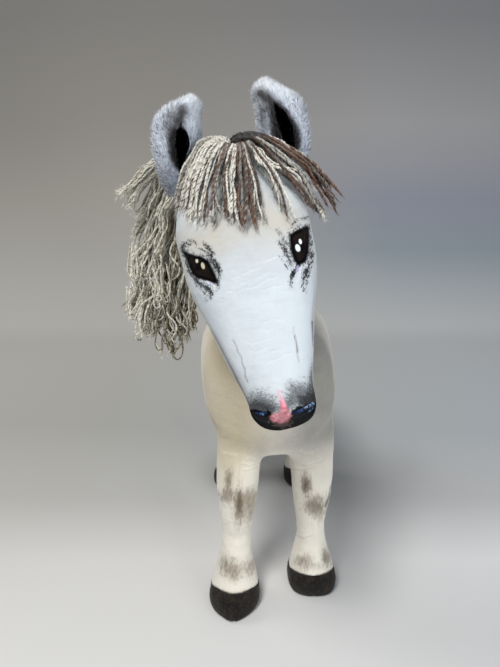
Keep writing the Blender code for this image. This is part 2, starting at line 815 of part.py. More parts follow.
def ear_sheet(side):
    """The cupped leaf's points and the way each faces into the hollow, by rows from the root to the tip."""
    root, length, width, front = ear_frame(side)
    rows = []
    for r in range(EAR_ROWS + 1):
        share = r / EAR_ROWS
        half, wrap = blended(EAR_SHARES, share)
        half_wrap = math.radians(EAR_HALF_WRAP_DEG) * wrap
        cup = EAR_CUP_DEPTH * half / max(row[1] for row in EAR_SHARES)
        middle = root + length * EAR_LENGTH * share
        row = []
        for c in range(EAR_COLUMNS + 1):
            angle = half_wrap * (2 * c / EAR_COLUMNS - 1)
            out = width * math.sin(angle) * cup - front * math.cos(angle) * EAR_WIDTH * half
            point = middle + width * EAR_WIDTH * half * math.sin(angle) - front * cup * math.cos(angle)
            row.append((point, -out.normalized()))
        rows.append(row)
    return rows


def ear_layer(name, side, start, wall, edge, material, parent, head_tool):
    """One fabric layer of an ear, from this depth inside the sewn leaf, trimmed where it meets the head.

    It stops this many grid steps short of the leaf's edge."""
    sheet = ear_sheet(side)
    sheet = [row[edge : len(row) - edge] for row in sheet[: len(sheet) - edge]]
    layers = [
        [[point + inward * depth for point, inward in row] for row in sheet]
        for depth in (start, start + wall)
    ]
    node = place(name, slab(layers), material, parent, ear_frame(side)[0])
    cut(node, head_tool)
    return node


# Yarn


def lock_form(points, half_width, half_thickness, width_way):
    """A lock of yarn: a flat oval along the route, thinner at its root and its tip."""
    route = smooth_route(points, LOCK_STEPS)
    sections = []
    for k, point in enumerate(route):
        along = (route[min(k + 1, len(route) - 1)] - route[max(k - 1, 0)]).normalized()
        across = (Vector(width_way) - along * along.dot(Vector(width_way))).normalized()
        place_along = k / (len(route) - 1) * (len(LOCK_TAPER_SHARES) - 1)
        low = min(int(place_along), len(LOCK_TAPER_SHARES) - 2)
        part = place_along - low
        taper = LOCK_TAPER_SHARES[low] * (1 - part) + LOCK_TAPER_SHARES[low + 1] * part
        sections.append(
            (point, across, across.cross(along), half_width * taper, half_thickness * taper, LOCK_SQUARENESS)
        )
    return lofted(sections, LOCK_SIDES)


def forelock_point(side, spread, run, lift):
    """A point of the forelock: spread from the parting outwards, run from its root to its tips."""
    length = FORELOCK_LENGTH * (1 - FORELOCK_SIDE_SHORTER * spread)
    share = FORELOCK_START_SHARE + length * run / head_length()
    opening = FORELOCK_ROOT_SHARE + (1 - FORELOCK_ROOT_SHARE) * run**FORELOCK_FLARE
    aside = FORELOCK_PARTING / 2 + FORELOCK_REACH * spread * opening
    bearing = min(aside, HEAD_WIDTH * blended(HEAD_SHARES, share)[0] * FORELOCK_BEARING_SHARE)
    return head_point(share, side * aside, face_height(share, bearing) + lift)


def build_forelock(looks, parent, head_tool):
    """Two fans of yarn that part in the middle, and the wrap of yarn that is sewn over their roots."""
    for side, word in ((1, "left"), (-1, "right")):
        layers = []
        for lift in (SEAT_GAP, SEAT_GAP + FORELOCK_THICKNESS):
            layers.append(
                [
                    [
                        forelock_point(side, c / FORELOCK_COLUMNS, r / FORELOCK_ROWS, lift)
                        for c in range(FORELOCK_COLUMNS + 1)
                    ]
                    for r in range(FORELOCK_ROWS + 1)
                ]
            )
        node = place(f"forelock_{word}", slab(layers), looks["forelock_yarn"], parent, POLL)
        cut(node, head_tool)
    along, across, out = head_frame()
    rise = FORELOCK_THICKNESS + FORELOCK_WRAP_RADIUS + FORELOCK_WRAP_STANDOFF
    middle = head_point(FORELOCK_START_SHARE, 0, face_height(FORELOCK_START_SHARE, 0) + rise)
    reach = across * FORELOCK_WRAP_LENGTH / 2
    wrap = rod(middle - reach, middle + reach, FORELOCK_WRAP_RADIUS, FORELOCK_WRAP_SIDES)
    place("forelock_wrap", wrap, looks["forelock_yarn"], parent, POLL)


def mane_route(k):
    """From the crest of the neck out to its right side, then hanging; higher locks hang further out."""
    across, back = neck_frame()
    order = k / (MANE_LOCKS - 1)
    share = MANE_TOP_SHARE + (MANE_LOW_SHARE - MANE_TOP_SHARE) * order
    middle = Vector(NECK_BASE).lerp(Vector(NECK_TOP), share)
    root = middle + (back * MANE_ROOT_BACK_SHARE - across * MANE_ROOT_SIDE_SHARE) * neck_radius(share)
    out_by = MANE_NEAR + MANE_SPACING * (MANE_LOCKS - 1 - k)
    rise = MANE_TOP_RISE + (MANE_LOW_RISE - MANE_TOP_RISE) * order
    bend = Vector((middle.x - out_by, MANE_MIDDLE_Y, root.z + rise - MANE_SPACING))
    arch = root.lerp(bend, MANE_ARCH_SHARE) + Vector((0, 0, MANE_SPACING))
    arch.y = MANE_MIDDLE_Y
    tip = bend - Vector((0, 0, MANE_LENGTH * MANE_LENGTH_SHARES[k]))
    return [root, arch, bend, bend.lerp(tip, 0.5), tip]


def build_mane(looks, parent):
    """Locks sewn to the neck, trimmed at the top for the head to turn and below for the neck to nod."""
    neck_tool = cutter("neck_outside", neck_form(SEAT_GAP), parent)
    head = lofted(head_sections(), HEAD_SIDES)
    head_tool = cutter("head_turning_room", shrunk(head, -MANE_HEAD_CLEARANCE), parent)
    torso_tool = cutter("torso_nodding_room", turned_torso(NECK_BASE, NECK_NOD_DEG), parent)
    for k in range(MANE_LOCKS):
        bm = lock_form(mane_route(k), MANE_HALF_WIDTH, MANE_HALF_THICKNESS, (0, 1, 0))
        node = place(f"mane_lock_{k + 1}", bm, looks["mane_yarn"], parent, NECK_BASE)
        cut(node, neck_tool)
        if k == 0:
            cut(node, head_tool)
        if k == MANE_LOCKS - 1:
            cut(node, torso_tool)


def tail_root():
    return Vector(
        (
            0,
            TORSO_FRONT_Y + TORSO_LENGTH - TAIL_ROOT_DEPTH,
            BELLY_HEIGHT + TORSO_HEIGHT * TAIL_HEIGHT_SHARE,
        )
    )


def build_tail(looks, root_empty):
    """Three locks that hang from one place on the rump and swing together, trimmed to swing in."""
    root = tail_root()
    pivot = joint("tail_pivot", root, root_empty, TAIL_SWING_IN_DEG, TAIL_SWING_OUT_DEG)
    swings = {"hanging": 0.0, "swung_in": TAIL_SWING_IN_DEG, "swung_out": TAIL_SWING_OUT_DEG}
    torso_tools = [
        cutter(f"rump_{word}", turned_torso(root, -swing_deg), root_empty)
        for word, swing_deg in swings.items()
    ]
    for k in range(TAIL_LOCKS):
        aside = (k - (TAIL_LOCKS - 1) / 2) * TAIL_SPREAD
        start = root + Vector((aside, 0, 0))
        bend = start + Vector((0, TAIL_STANDOFF, -TAIL_LENGTH * TAIL_BEND_SHARE))
        tip = bend + Vector((0, TAIL_HALF_WIDTH, -TAIL_LENGTH * (1 - TAIL_BEND_SHARE)))
        points = [start, bend, bend.lerp(tip, 0.5), tip]
        bm = lock_form(points, TAIL_HALF_WIDTH, TAIL_HALF_WIDTH, (1, 0, 0))
        node = place(f"tail_lock_{k + 1}", bm, looks["mane_yarn"], pivot, root)
        cut(node, *torso_tools)


# Assembly


def stand_on_origin(root):
    """Moves the horse so that the origin is under the middle of its bounding box, at the floor."""
    bpy.context.view_layer.update()
    graph = bpy.context.evaluated_depsgraph_get()
    corners = []
    for obj in bpy.context.scene.objects:
        if obj.type in ("MESH", "CURVE") and not obj.hide_render:
            shown = obj.evaluated_get(graph)
            mesh = shown.to_mesh()
            corners += [shown.matrix_world @ v.co for v in mesh.vertices]
            shown.to_mesh_clear()
    low = Vector([min(c[k] for c in corners) for k in range(3)])
    high = Vector([max(c[k] for c in corners) for k in range(3)])
    root.location = Vector((-(low.x + high.x) / 2, -(low.y + high.y) / 2, -low.z))


def build_torso_and_legs(root, looks):
    torso = lofted(torso_sections(), TORSO_SIDES)
    torso_cover = place("torso_cover", shell(torso, COVER_WALL), looks["white_plush"], root)
    torso_fill = shrunk(torso, COVER_WALL + SEAT_GAP)
    torso_stuffing = place("torso_stuffing", torso_fill, looks["stuffing"], root)
    torso_nodes = (torso_cover, torso_stuffing)
    legs = [
        Leg("front_left_leg", 1, False),
        Leg("front_right_leg", -1, False),
        Leg("hind_left_leg", 1, True),
        Leg("hind_right_leg", -1, True),
    ]
    for leg in legs:
        build_leg(leg, looks, root, torso_nodes)

    # The wires that cross the torso end in the tops of the legs, and the spine wire lies over them.
    for name, leg, other in (("shoulder_wire", legs[0], legs[1]), ("hip_wire", legs[2], legs[3])):
        left = leg.pivot + Vector((PIVOT_WIRE_STUB, 0, 0))
        right = other.pivot - Vector((PIVOT_WIRE_STUB, 0, 0))
        place(name, rod(left, right, PIVOT_WIRE_RADIUS), looks["armature_wire"], root, leg.pivot)
        groove = rod(left, right, PIVOT_WIRE_RADIUS + CHANNEL_CLEARANCE)
        cut(torso_stuffing, cutter(name + "_channel", groove, root))
    rise = Vector((0, 0, PIVOT_WIRE_RADIUS + WIRE_RADIUS + SEAT_GAP))
    front, rear = Vector((0, *legs[0].pivot.yz)) + rise, Vector((0, *legs[2].pivot.yz)) + rise
    past = (rear - front).normalized() * SPINE_PAST_PIVOTS
    route = [front - past, rear + past]
    place("spine_wire", stem_form(route, WIRE_RADIUS), looks["armature_wire"], root, front)
    past += past.normalized() * CHANNEL_CLEARANCE
    groove = stem_form([front - past, rear + past], WIRE_RADIUS + CHANNEL_CLEARANCE)
    cut(torso_stuffing, cutter("spine_wire_channel", groove, root))
    return torso_nodes


def build_neck(root, looks, torso_nodes):
    base = Vector(NECK_BASE)
    axis = neck_axis()
    nod = joint("neck_pivot", base, root, -NECK_NOD_DEG, NECK_NOD_DEG)
    outside = neck_form()
    cover = place("neck_cover", shell(outside, COVER_WALL), looks["white_plush"], nod, base)
    stuffing_form = shrunk(outside, COVER_WALL + SEAT_GAP)
    stuffing = place("neck_stuffing", stuffing_form, looks["stuffing"], nod, base)
    room = cutter("neck_room", neck_room(), root)
    cut(torso_nodes[0], room)
    cut(torso_nodes[1], room)

    # The neck's pivot wire crosses its base and ends in the torso's stuffing, just inside the cover.
    reach_out = Vector((torso_half_width(base) - COVER_WALL - PIVOT_WIRE_END_GAP, 0, 0))
    wire = rod(base - reach_out, base + reach_out, PIVOT_WIRE_RADIUS)
    place("neck_pivot_wire", wire, looks["armature_wire"], root, base)
    reach_out.x += CHANNEL_CLEARANCE
    groove = rod(base - reach_out, base + reach_out, PIVOT_WIRE_RADIUS + CHANNEL_CLEARANCE)
    cut(torso_nodes[1], cutter("neck_pivot_channel", groove, root))
    bore = cutter("neck_pivot_bore", groove, nod)

    # The neck's wire is bent round the pivot wire and stands out of the neck's top, inside the head.
    top = Vector(NECK_TOP)
    peak = top + axis * NECK_WIRE_PEAK
    route = [base + axis * (eye_radius() + WIRE_RADIUS / 2), top, peak]
    eye("neck_wire", base, (1, 0, 0), route, looks["armature_wire"], nod)
    above = top + axis * (NECK_TOP_RADIUS + CUT_OVERRUN)
    wire_room = stem_form([base, top, above], WIRE_RADIUS + CHANNEL_CLEARANCE)
    channel = cutter("neck_wire_channel", wire_room, nod)
    eye_half = Vector((WIRE_RADIUS + 2 * CHANNEL_CLEARANCE, 0, 0))
    eye_reach = eye_radius() + WIRE_RADIUS + CHANNEL_CLEARANCE
    eye_room = rod(base - eye_half, base + eye_half, eye_reach, RING_ROOM_SIDES)
    cut(stuffing, bore, channel, cutter("neck_eye_room", eye_room, nod))
    cut(cover, bore, channel)
    return nod


def build_head(nod, looks):
    axis = neck_axis()
    pivot = joint("head_pivot", NECK_TOP, nod, -HEAD_TURN_DEG, HEAD_TURN_DEG)
    head = lofted(head_sections(), HEAD_SIDES)
    head_tool = cutter("head_outside", shrunk(head, -SEAT_GAP), pivot)
    cover = place("head_cover", shell(head, COVER_WALL), looks["white_plush"], pivot, NECK_TOP)
    fill = shrunk(head, COVER_WALL + SEAT_GAP)
    stuffing = place("head_stuffing", fill, looks["stuffing"], pivot, NECK_TOP)
    seat = cutter("neck_in_head", neck_form(SOCKET_GAP, lowest=NECK_IN_HEAD_SHARE), nod)
    cut(cover, seat)
    cut(stuffing, seat)

    # The head's wire is bent round the neck's wire and follows the face to the nose.
    ring_at = Vector(NECK_TOP) + axis * HEAD_RING_RISE
    out = head_frame()[2]
    wire_height = face_height(HEAD_WIRE_END_SHARE, 0) / 2 - HEAD_DEPTH * HEAD_WIRE_DEEPER_SHARE
    nose_end = head_point(HEAD_WIRE_END_SHARE, 0, wire_height)
    toward = nose_end - ring_at
    toward = (toward - axis * toward.dot(axis)).normalized()
    start = ring_at + toward * (eye_radius() + WIRE_RADIUS / 2)
    route = [start, start + toward * eye_radius() * HEAD_WIRE_STEM_EYES, nose_end]
    eye("head_wire", ring_at, axis, route, looks["armature_wire"], pivot)
    eye_half = WIRE_RADIUS + CHANNEL_CLEARANCE
    ring_half = axis * (eye_half + CHANNEL_CLEARANCE)
    ring_room = rod(ring_at - ring_half, ring_at + ring_half, eye_radius() + eye_half, RING_ROOM_SIDES)
    neck_wire_room = rod(
        Vector(NECK_TOP),
        Vector(NECK_TOP) + axis * (NECK_WIRE_PEAK + CHANNEL_CLEARANCE),
        WIRE_RADIUS + CHANNEL_CLEARANCE,
    )
    past_nose_end = nose_end + (route[-1] - route[-2]).normalized() * eye_half
    wire_room = stem_form([ring_at, *route, past_nose_end], eye_half)
    rooms = {"head_ring_room": ring_room, "neck_wire_room": neck_wire_room, "head_wire_room": wire_room}
    for name, form in rooms.items():
        cut(stuffing, cutter(name, form, pivot))
    lining_start = EAR_OUTER_WALL + SEAT_GAP
    outer_look, lining_look = looks["grey_plush"], looks["ear_lining"]
    for side, word in ((1, "left"), (-1, "right")):
        outer, lining = f"ear_{word}_outer", f"ear_{word}_lining"
        ear_layer(outer, side, 0.0, EAR_OUTER_WALL, 0, outer_look, pivot, head_tool)
        ear_layer(lining, side, lining_start, EAR_LINING_WALL, EAR_EDGE_STEPS, lining_look, pivot, head_tool)
    build_forelock(looks, pivot, head_tool)


def build():
    clear_scene()
    looks = materials()
    root = empty("horse", (0, 0, 0), None)
    torso_nodes = build_torso_and_legs(root, looks)
    nod = build_neck(root, looks, torso_nodes)
    build_head(nod, looks)
    build_mane(looks, nod)
    build_tail(looks, root)
    stand_on_origin(root)


build()
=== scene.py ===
import math
import random

import bmesh
import bpy
import numpy as np
from mathutils import Matrix, Vector
from mathutils.bvhtree import BVHTree


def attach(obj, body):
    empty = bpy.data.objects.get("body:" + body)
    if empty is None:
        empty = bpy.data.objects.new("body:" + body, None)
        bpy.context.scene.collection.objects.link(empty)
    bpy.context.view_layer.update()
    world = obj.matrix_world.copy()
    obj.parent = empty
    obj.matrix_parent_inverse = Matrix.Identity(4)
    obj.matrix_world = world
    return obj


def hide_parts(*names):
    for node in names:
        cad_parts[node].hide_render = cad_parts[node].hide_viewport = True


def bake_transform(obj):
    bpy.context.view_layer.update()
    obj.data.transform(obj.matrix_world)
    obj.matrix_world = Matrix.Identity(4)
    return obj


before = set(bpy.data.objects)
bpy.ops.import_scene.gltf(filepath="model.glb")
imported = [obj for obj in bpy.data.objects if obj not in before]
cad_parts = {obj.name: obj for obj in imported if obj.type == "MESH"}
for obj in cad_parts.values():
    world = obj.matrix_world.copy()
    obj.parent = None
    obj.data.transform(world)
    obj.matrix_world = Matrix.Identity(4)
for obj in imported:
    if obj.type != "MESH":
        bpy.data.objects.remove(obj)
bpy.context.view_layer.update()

RNG = np.random.default_rng(11)
X, Y, Z = np.eye(3)

# The shapes are worked out about the torso's own middle plane, and moved by this to the frame's origin.
SHIFT = np.array([0.03021, 0.006549, 0.0])
# Where the camera stands, how far it looks down, and the lens and middle of its picture of 500 by 667
EYE_POINT = np.array([-0.019, -0.450, 0.320])
PITCH = math.radians(14)
LENS_PX, MIDDLE_X, MIDDLE_Y = 501.0, 250, 333.5
HASH_X, HASH_Y, HASH_Z, HASH_MIX, HASH_MASK = 374761393, 668265263, 2147483647, 1274126177, 0xFFFFFFFF

# Small helpers


def unit(v):
    v = np.asarray(v, float)
    return v / np.linalg.norm(v, axis=-1, keepdims=True)


def smooth(low, high, value):
    """0 up to low, 1 from high on, and a smooth step from one to the other. Low may be the larger."""
    t = np.clip((np.asarray(value, float) - low) / (high - low), 0, 1)
    return t * t * (3 - 2 * t)


def between(a, b, t):
    return a + (b - a) * t


def bell(offset, width, aside=0.0, breadth=1.0):
    """1 in the middle, falling off to all sides."""
    return np.exp(-((offset / width) ** 2) - (aside / breadth) ** 2)


def curve_rows(table, where):
    """The rows of a table of shares at these places, on a smooth curve through the rows."""
    table = np.asarray(table, float)
    where = np.atleast_1d(np.asarray(where, float))
    x, y = table[:, 0], table[:, 1:]
    low = np.clip(np.searchsorted(x, where, side="right") - 1, 0, len(x) - 2)
    before, after = np.maximum(low - 1, 0), np.minimum(low + 2, len(x) - 1)
    span = (x[low + 1] - x[low])[:, None]
    t = ((where - x[low])[:, None]) / span
    m0 = (y[low + 1] - y[before]) / (x[low + 1] - x[before])[:, None] * span
    m1 = (y[after] - y[low]) / (x[after] - x[low])[:, None] * span
    ends = (2 * t**3 - 3 * t**2 + 1) * y[low] + (t**3 - 2 * t**2 + t) * m0
    return ends + (3 * t**2 - 2 * t**3) * y[low + 1] + (t**3 - t**2) * m1


def value_noise(points, size, seed):
    """Smooth noise from 0 to 1 at these points, with lumps of about this size."""
    p = np.asarray(points, float) / size + 1000.0
    i = np.floor(p).astype(np.int64)
    f = p - i
    f = f * f * (3 - 2 * f)
    total = np.zeros(len(p))
    for dx in (0, 1):
        for dy in (0, 1):
            for dz in (0, 1):
                h = (i[:, 0] + dx) * HASH_X + (i[:, 1] + dy) * HASH_Y + (i[:, 2] + dz) * HASH_Z
                h = (h + seed * HASH_MIX) & HASH_MASK
                h = ((h ^ (h >> 13)) * HASH_MIX) & HASH_MASK
                h = (h ^ (h >> 16)) / HASH_MASK
                for k, corner in enumerate((dx, dy, dz)):
                    share = np.where(corner, f[:, k], 1 - f[:, k])
                    weight = weight * share if k else share
                total += weight * h
    return total


def fractal(points, size, seed, octaves):
    total, weight, scale = 0.0, 0.0, 1.0
    for k in range(octaves):
        total = total + value_noise(points, size * scale, seed + k) * scale
        weight += scale
        scale /= 2
    return total / weight


def to_pixels(points):
    """Where points, about the torso's middle plane, stand in the picture."""
    d = np.asarray(points, float) - EYE_POINT
    depth = d[:, 1] * math.cos(PITCH) - d[:, 2] * math.sin(PITCH)
    rise = d[:, 1] * math.sin(PITCH) + d[:, 2] * math.cos(PITCH)
    return MIDDLE_X + LENS_PX * d[:, 0] / depth, MIDDLE_Y - LENS_PX * rise / depth


def picture_ray(px, py):
    """The way a place in the picture looks from the camera."""
    a, b = (px - MIDDLE_X) / LENS_PX, (MIDDLE_Y - py) / LENS_PX
    return np.array([a, math.cos(PITCH) + b * math.sin(PITCH), -math.sin(PITCH) + b * math.cos(PITCH)])


def link_object(name, data):
    obj = bpy.data.objects.new(name, data)
    bpy.context.scene.collection.objects.link(obj)
    return obj


def new_object(name, verts, faces, smooth_shaded=True):
    mesh = bpy.data.meshes.new(name)
    verts = [tuple(v) for v in np.asarray(verts, float)]
    mesh.from_pydata(verts, [], [tuple(int(i) for i in f) for f in faces])
    mesh.update()
    if smooth_shaded:
        mesh.shade_smooth()
    return link_object(name, mesh)


def read_vectors(obj, what):
    values = np.empty(len(obj.data.vertices) * 3)
    obj.data.vertices.foreach_get(what, values)
    return values.reshape(-1, 3)


def coords(obj):
    return read_vectors(obj, "co")


def normals(obj):
    return read_vectors(obj, "normal")


def set_coords(obj, co):
    obj.data.vertices.foreach_set("co", np.asarray(co, float).ravel())
    obj.data.update()


def paint(obj, colours):
    """Stores a colour for each vertex, as linear RGB from 0 to 1."""
    full = np.ones((len(colours), 4))
    full[:, :3] = np.clip(colours, 0, 1)
    layer = obj.data.color_attributes.new("paint", "FLOAT_COLOR", "POINT")
    layer.data.foreach_set("color", full.ravel())


def apply_modifiers(obj):
    mesh = bpy.data.meshes.new_from_object(obj.evaluated_get(bpy.context.evaluated_depsgraph_get()))
    old = obj.data
    obj.modifiers.clear()
    obj.data = mesh
    bpy.data.meshes.remove(old)


def srgb(*values):
    """Linear colour from values of 0 to 255."""
    shares = [v / 255 for v in values]
    return np.array([c / 12.92 if c <= 0.04045 else ((c + 0.055) / 1.055) ** 2.4 for c in shares])


# Materials

BLACK, WHITE = (0.0, 0.0, 0.0), (1.0, 1.0, 1.0)


def material(name, **settings):
    """A material, its node tree and its shader, with these of the shader's inputs set."""
    made = bpy.data.materials.new(name)
    made.use_nodes = True
    shader = made.node_tree.nodes["Principled BSDF"]
    for key, value in settings.items():
        shader.inputs[key.replace("_", " ")].default_value = value
    return made, made.node_tree, shader


def node(tree, kind, **values):
    made = tree.nodes.new(kind)
    for key, value in values.items():
        if key in made.inputs:
            made.inputs[key].default_value = value
        else:
            setattr(made, key, value)
    return made


def feed(tree, socket, value):
    """Links another node's output to this socket, or sets it to a value."""
    if isinstance(value, bpy.types.NodeSocket):
        tree.links.new(value, socket)
    else:
        socket.default_value = value


def calculate(tree, kind, operation, *values):
    made = node(tree, kind, operation=operation)
    for socket, value in zip(made.inputs, values):
        feed(tree, socket, value)
    return made.outputs[0]


def rest_position(tree):
    """Where each point was at rest, so that a pattern stays on the cloth when it bends."""
    return node(tree, "ShaderNodeAttribute", attribute_name="rest").outputs["Vector"]


def painted(tree):
    return node(tree, "ShaderNodeVertexColor", layer_name="paint").outputs["Color"]


def mix(tree, mode, factor, a, b):
    made = node(tree, "ShaderNodeMix", data_type="RGBA", blend_type=mode)
    for number, value in ((0, factor), (6, a), (7, b)):
        feed(tree, made.inputs[number], value)
    return made.outputs[2]


def ramp(tree, source, stops):
    made = tree.nodes.new("ShaderNodeValToRGB")
    while len(made.color_ramp.elements) < len(stops):
        made.color_ramp.elements.new(0.5)
    for element, (place, colour) in zip(made.color_ramp.elements, stops):
        element.position = place
        element.color = (*colour, 1.0)
    tree.links.new(source, made.inputs[0])
    return made.outputs[0]


def noise(tree, where, scale, detail, roughness=0.55):
    made = node(tree, "ShaderNodeTexNoise", Scale=scale, Detail=detail, Roughness=roughness)
    tree.links.new(where, made.inputs["Vector"])
    return made.outputs["Fac"]


def map_range(tree, source, **ends):
    """Stretches a value, from and to these ends."""
    made = node(tree, "ShaderNodeMapRange")
    for key, value in ends.items():
        made.inputs[key.replace("_", " ")].default_value = value
    tree.links.new(source, made.inputs["Value"])
    return made.outputs["Result"]


def set_base(tree, shader, colour, *shades):
    """Gives the shader this colour, darkened by these shades."""
    for shade in shades:
        colour = mix(tree, "MULTIPLY", 1.0, colour, shade)
    tree.links.new(colour, shader.inputs["Base Color"])


def add_bump(tree, shader, height, strength, distance):
    made = node(tree, "ShaderNodeBump", Strength=strength, Distance=distance)
    tree.links.new(height, made.inputs["Height"])
    tree.links.new(made.outputs["Normal"], shader.inputs["Normal"])


def plush_material(name, bump=0.55, sheen=0.30, nap_depth=0.14, specular=0.2):
    """Short-pile plush: painted colour, broken by the pile's nap, with a soft sheen at grazing angles."""
    made, tree, shader = material(
        name, Roughness=0.92, Sheen_Weight=sheen, Sheen_Roughness=0.6, Specular_IOR_Level=specular
    )
    where = rest_position(tree)
    nap = noise(tree, where, 2600.0, 2.0)
    shade = ramp(tree, nap, [(0.28, (1 - nap_depth,) * 3), (0.62, WHITE)])
    cloud = ramp(tree, noise(tree, where, 90.0, 4.0, 0.6), [(0.30, (0.93, 0.93, 0.94)), (0.68, WHITE)])
    set_base(tree, shader, painted(tree), shade, cloud)
    drawn = calculate(tree, "ShaderNodeVectorMath", "MULTIPLY", where, (0.30, 1.0, 1.15))
    creases = noise(tree, drawn, 230.0, 2.0, 0.5)
    creased = ramp(tree, noise(tree, where, 34.0, 2.0), [(0.44, BLACK), (0.66, WHITE)])
    folds = calculate(tree, "ShaderNodeMath", "MULTIPLY", creases, creased)
    rumple = noise(tree, where, 340.0, 3.0, 0.6)
    height = calculate(tree, "ShaderNodeMath", "MULTIPLY_ADD", rumple, 1.4, nap)
    height = calculate(tree, "ShaderNodeMath", "MULTIPLY_ADD", folds, 3.4, height)
    add_bump(tree, shader, height, bump, 0.0009)
    return made


def gloss_material(name):
    """Glossy fabric paint, a little uneven."""
    made, tree, shader = material(name, Specular_IOR_Level=0.025)
    set_base(tree, shader, painted(tree))
    uneven = noise(tree, rest_position(tree), 700.0, 3.0)
    tree.links.new(map_range(tree, uneven, To_Min=0.22, To_Max=0.48), shader.inputs["Roughness"])
    add_bump(tree, shader, uneven, 0.35, 0.0008)
    return made


def yarn_material(name):
    """Two-ply wool: the strand's own colour, finely hairy."""
    made, tree, shader = material(name, Roughness=0.85, Sheen_Weight=0.25, Specular_IOR_Level=0.25)
    fine = noise(tree, rest_position(tree), 5200.0, 2.0)
    set_base(tree, shader, painted(tree), ramp(tree, fine, [(0.30, (0.72, 0.72, 0.72)), (0.66, WHITE)]))
    add_bump(tree, shader, fine, 0.6, 0.0005)
    return made


def fur_material(name, sheen):
    made, tree, shader = material(name, Roughness=0.75, Sheen_Weight=sheen, Specular_IOR_Level=sheen)
    uneven = noise(tree, rest_position(tree), 420.0, 3.0)
    set_base(tree, shader, painted(tree), ramp(tree, uneven, [(0.30, (0.88, 0.89, 0.92)), (0.66, WHITE)]))
    return made


def suede_material(name):
    """Dark brushed suede-like cloth, worn a little lighter where it is rubbed."""
    made, tree, shader = material(
        name, Roughness=0.9, Sheen_Weight=0.10, Sheen_Roughness=0.5, Specular_IOR_Level=0.15
    )
    where = rest_position(tree)
    fine = noise(tree, where, 1000.0, 3.0, 0.7)
    broad = noise(tree, where, 160.0, 4.0, 0.65)
    base = ramp(tree, broad, [(0.30, srgb(17, 15, 14)), (0.52, srgb(28, 25, 22)), (0.70, srgb(52, 40, 30))])
    speck = ramp(tree, fine, [(0.40, (0.45, 0.45, 0.45)), (0.53, (0.9, 0.9, 0.9)), (0.66, (2.3, 2.2, 2.1))])
    set_base(tree, shader, base, speck)
    add_bump(tree, shader, fine, 0.8, 0.0006)
    return made


def finish_piece(obj, look):
    """Moves a piece into the frame and gives it its surface."""
    rest = obj.data.attributes.new("rest", "FLOAT_VECTOR", "POINT")
    rest.data.foreach_set("vector", coords(obj).astype(np.float32).ravel())
    set_coords(obj, coords(obj) + SHIFT)
    obj.data.materials.clear()
    obj.data.materials.append(look)


# The body's shapes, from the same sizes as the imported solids

TORSO_LENGTH, TORSO_WIDTH, TORSO_HEIGHT = 0.275, 0.114, 0.122
TORSO_FRONT, BELLY = -0.115, 0.133
TORSO_ROLL = math.radians(-4.5)
FRONT_END, BACK_END = 0.12, 0.18  # the shares of the torso that are rounded off
TORSO_TABLE = (
    # share of the length, the underside and the top as shares of the height, half the width
    (0.00, 0.06, 0.76, 0.33),
    (0.08, -0.03, 0.87, 0.42),
    (0.22, -0.04, 0.98, 0.48),
    (0.40, -0.01, 0.99, 0.50),
    (0.56, 0.01, 0.95, 0.49),
    (0.72, 0.05, 0.95, 0.48),
    (0.86, 0.11, 0.97, 0.47),
    (1.00, 0.26, 0.88, 0.36),
)
FRONT_LEG_TABLE = (
    # share of the way down, how far forward, half width and half depth over the radius at the pivot
    (0.00, 0.000, 1.00, 1.00),
    (0.22, 0.000, 0.95, 1.00),
    (0.42, 0.010, 0.80, 0.86),
    (0.60, -0.005, 0.65, 0.70),
    (0.72, -0.005, 0.68, 0.78),
    (0.84, 0.010, 0.93, 0.98),
    (0.93, 0.025, 1.07, 1.08),
    (1.00, 0.030, 1.04, 1.07),
)
HIND_LEG_TABLE = (
    (0.00, 0.000, 1.00, 1.00),
    (0.20, 0.040, 0.97, 1.08),
    (0.42, -0.050, 0.76, 0.86),
    (0.56, -0.115, 0.56, 0.68),
    (0.70, -0.085, 0.56, 0.66),
    (0.84, -0.035, 0.80, 0.93),
    (0.93, -0.005, 0.96, 1.12),
    (1.00, 0.005, 0.95, 1.17),
)
LEGS = {
    "front_left_leg": dict(side=1, pivot=(0.0302, -0.076, 0.150), radius=0.0192, splay=0.005, reach=-0.009),
    "front_right_leg": dict(side=-1, pivot=(-0.0272, -0.076, 0.150), radius=0.0192, splay=0.005, reach=0.014),
    "hind_left_leg": dict(side=1, pivot=(0.030, 0.104, 0.158), radius=0.0205, splay=0.013, reach=0.004),
    "hind_right_leg": dict(side=-1, pivot=(-0.030, 0.104, 0.158), radius=0.0205, splay=0.013, reach=0.004),
}
NECK_BASE = np.array([-0.004, -0.046, 0.210])
NECK_TOP = np.array([-0.016, -0.089, 0.306])
NECK_RADII = (0.042, 0.029)
POLL = np.array([-0.0380, -0.106, 0.366])
NOSE = np.array([-0.0005, -0.2055, 0.2098])
FACE_ROLL = math.radians(12.5)
HEAD_WIDTH, HEAD_DEPTH = 0.098, 0.092
HEAD_SQUARENESS, JAW_NARROWING = 2.3, 0.26
HEAD_TABLE = (
    # share of the length, half width over HEAD_WIDTH, rise and depth over HEAD_DEPTH
    (0.00, 0.32, -0.02, 0.62),
    (0.10, 0.43, 0.04, 0.80),
    (0.24, 0.48, 0.09, 0.94),
    (0.40, 0.50, 0.11, 1.00),
    (0.52, 0.455, 0.09, 0.93),
    (0.64, 0.375, 0.055, 0.80),
    (0.76, 0.310, 0.03, 0.65),
    (0.88, 0.238, 0.01, 0.51),
    (1.00, 0.182, -0.01, 0.40),
)


def rings_to_mesh(rings):
    """Vertices and faces of a closed skin through rings of equal length."""
    count, sides = len(rings), len(rings[0])
    faces = []
    for r in range(count - 1):
        for k in range(sides):
            a, b = r * sides + k, r * sides + (k + 1) % sides
            faces.append((a, b, b + sides, a + sides))
    faces.append(tuple(range(sides))[::-1])
    faces.append(tuple(range((count - 1) * sides, count * sides)))
    return np.concatenate(rings), faces


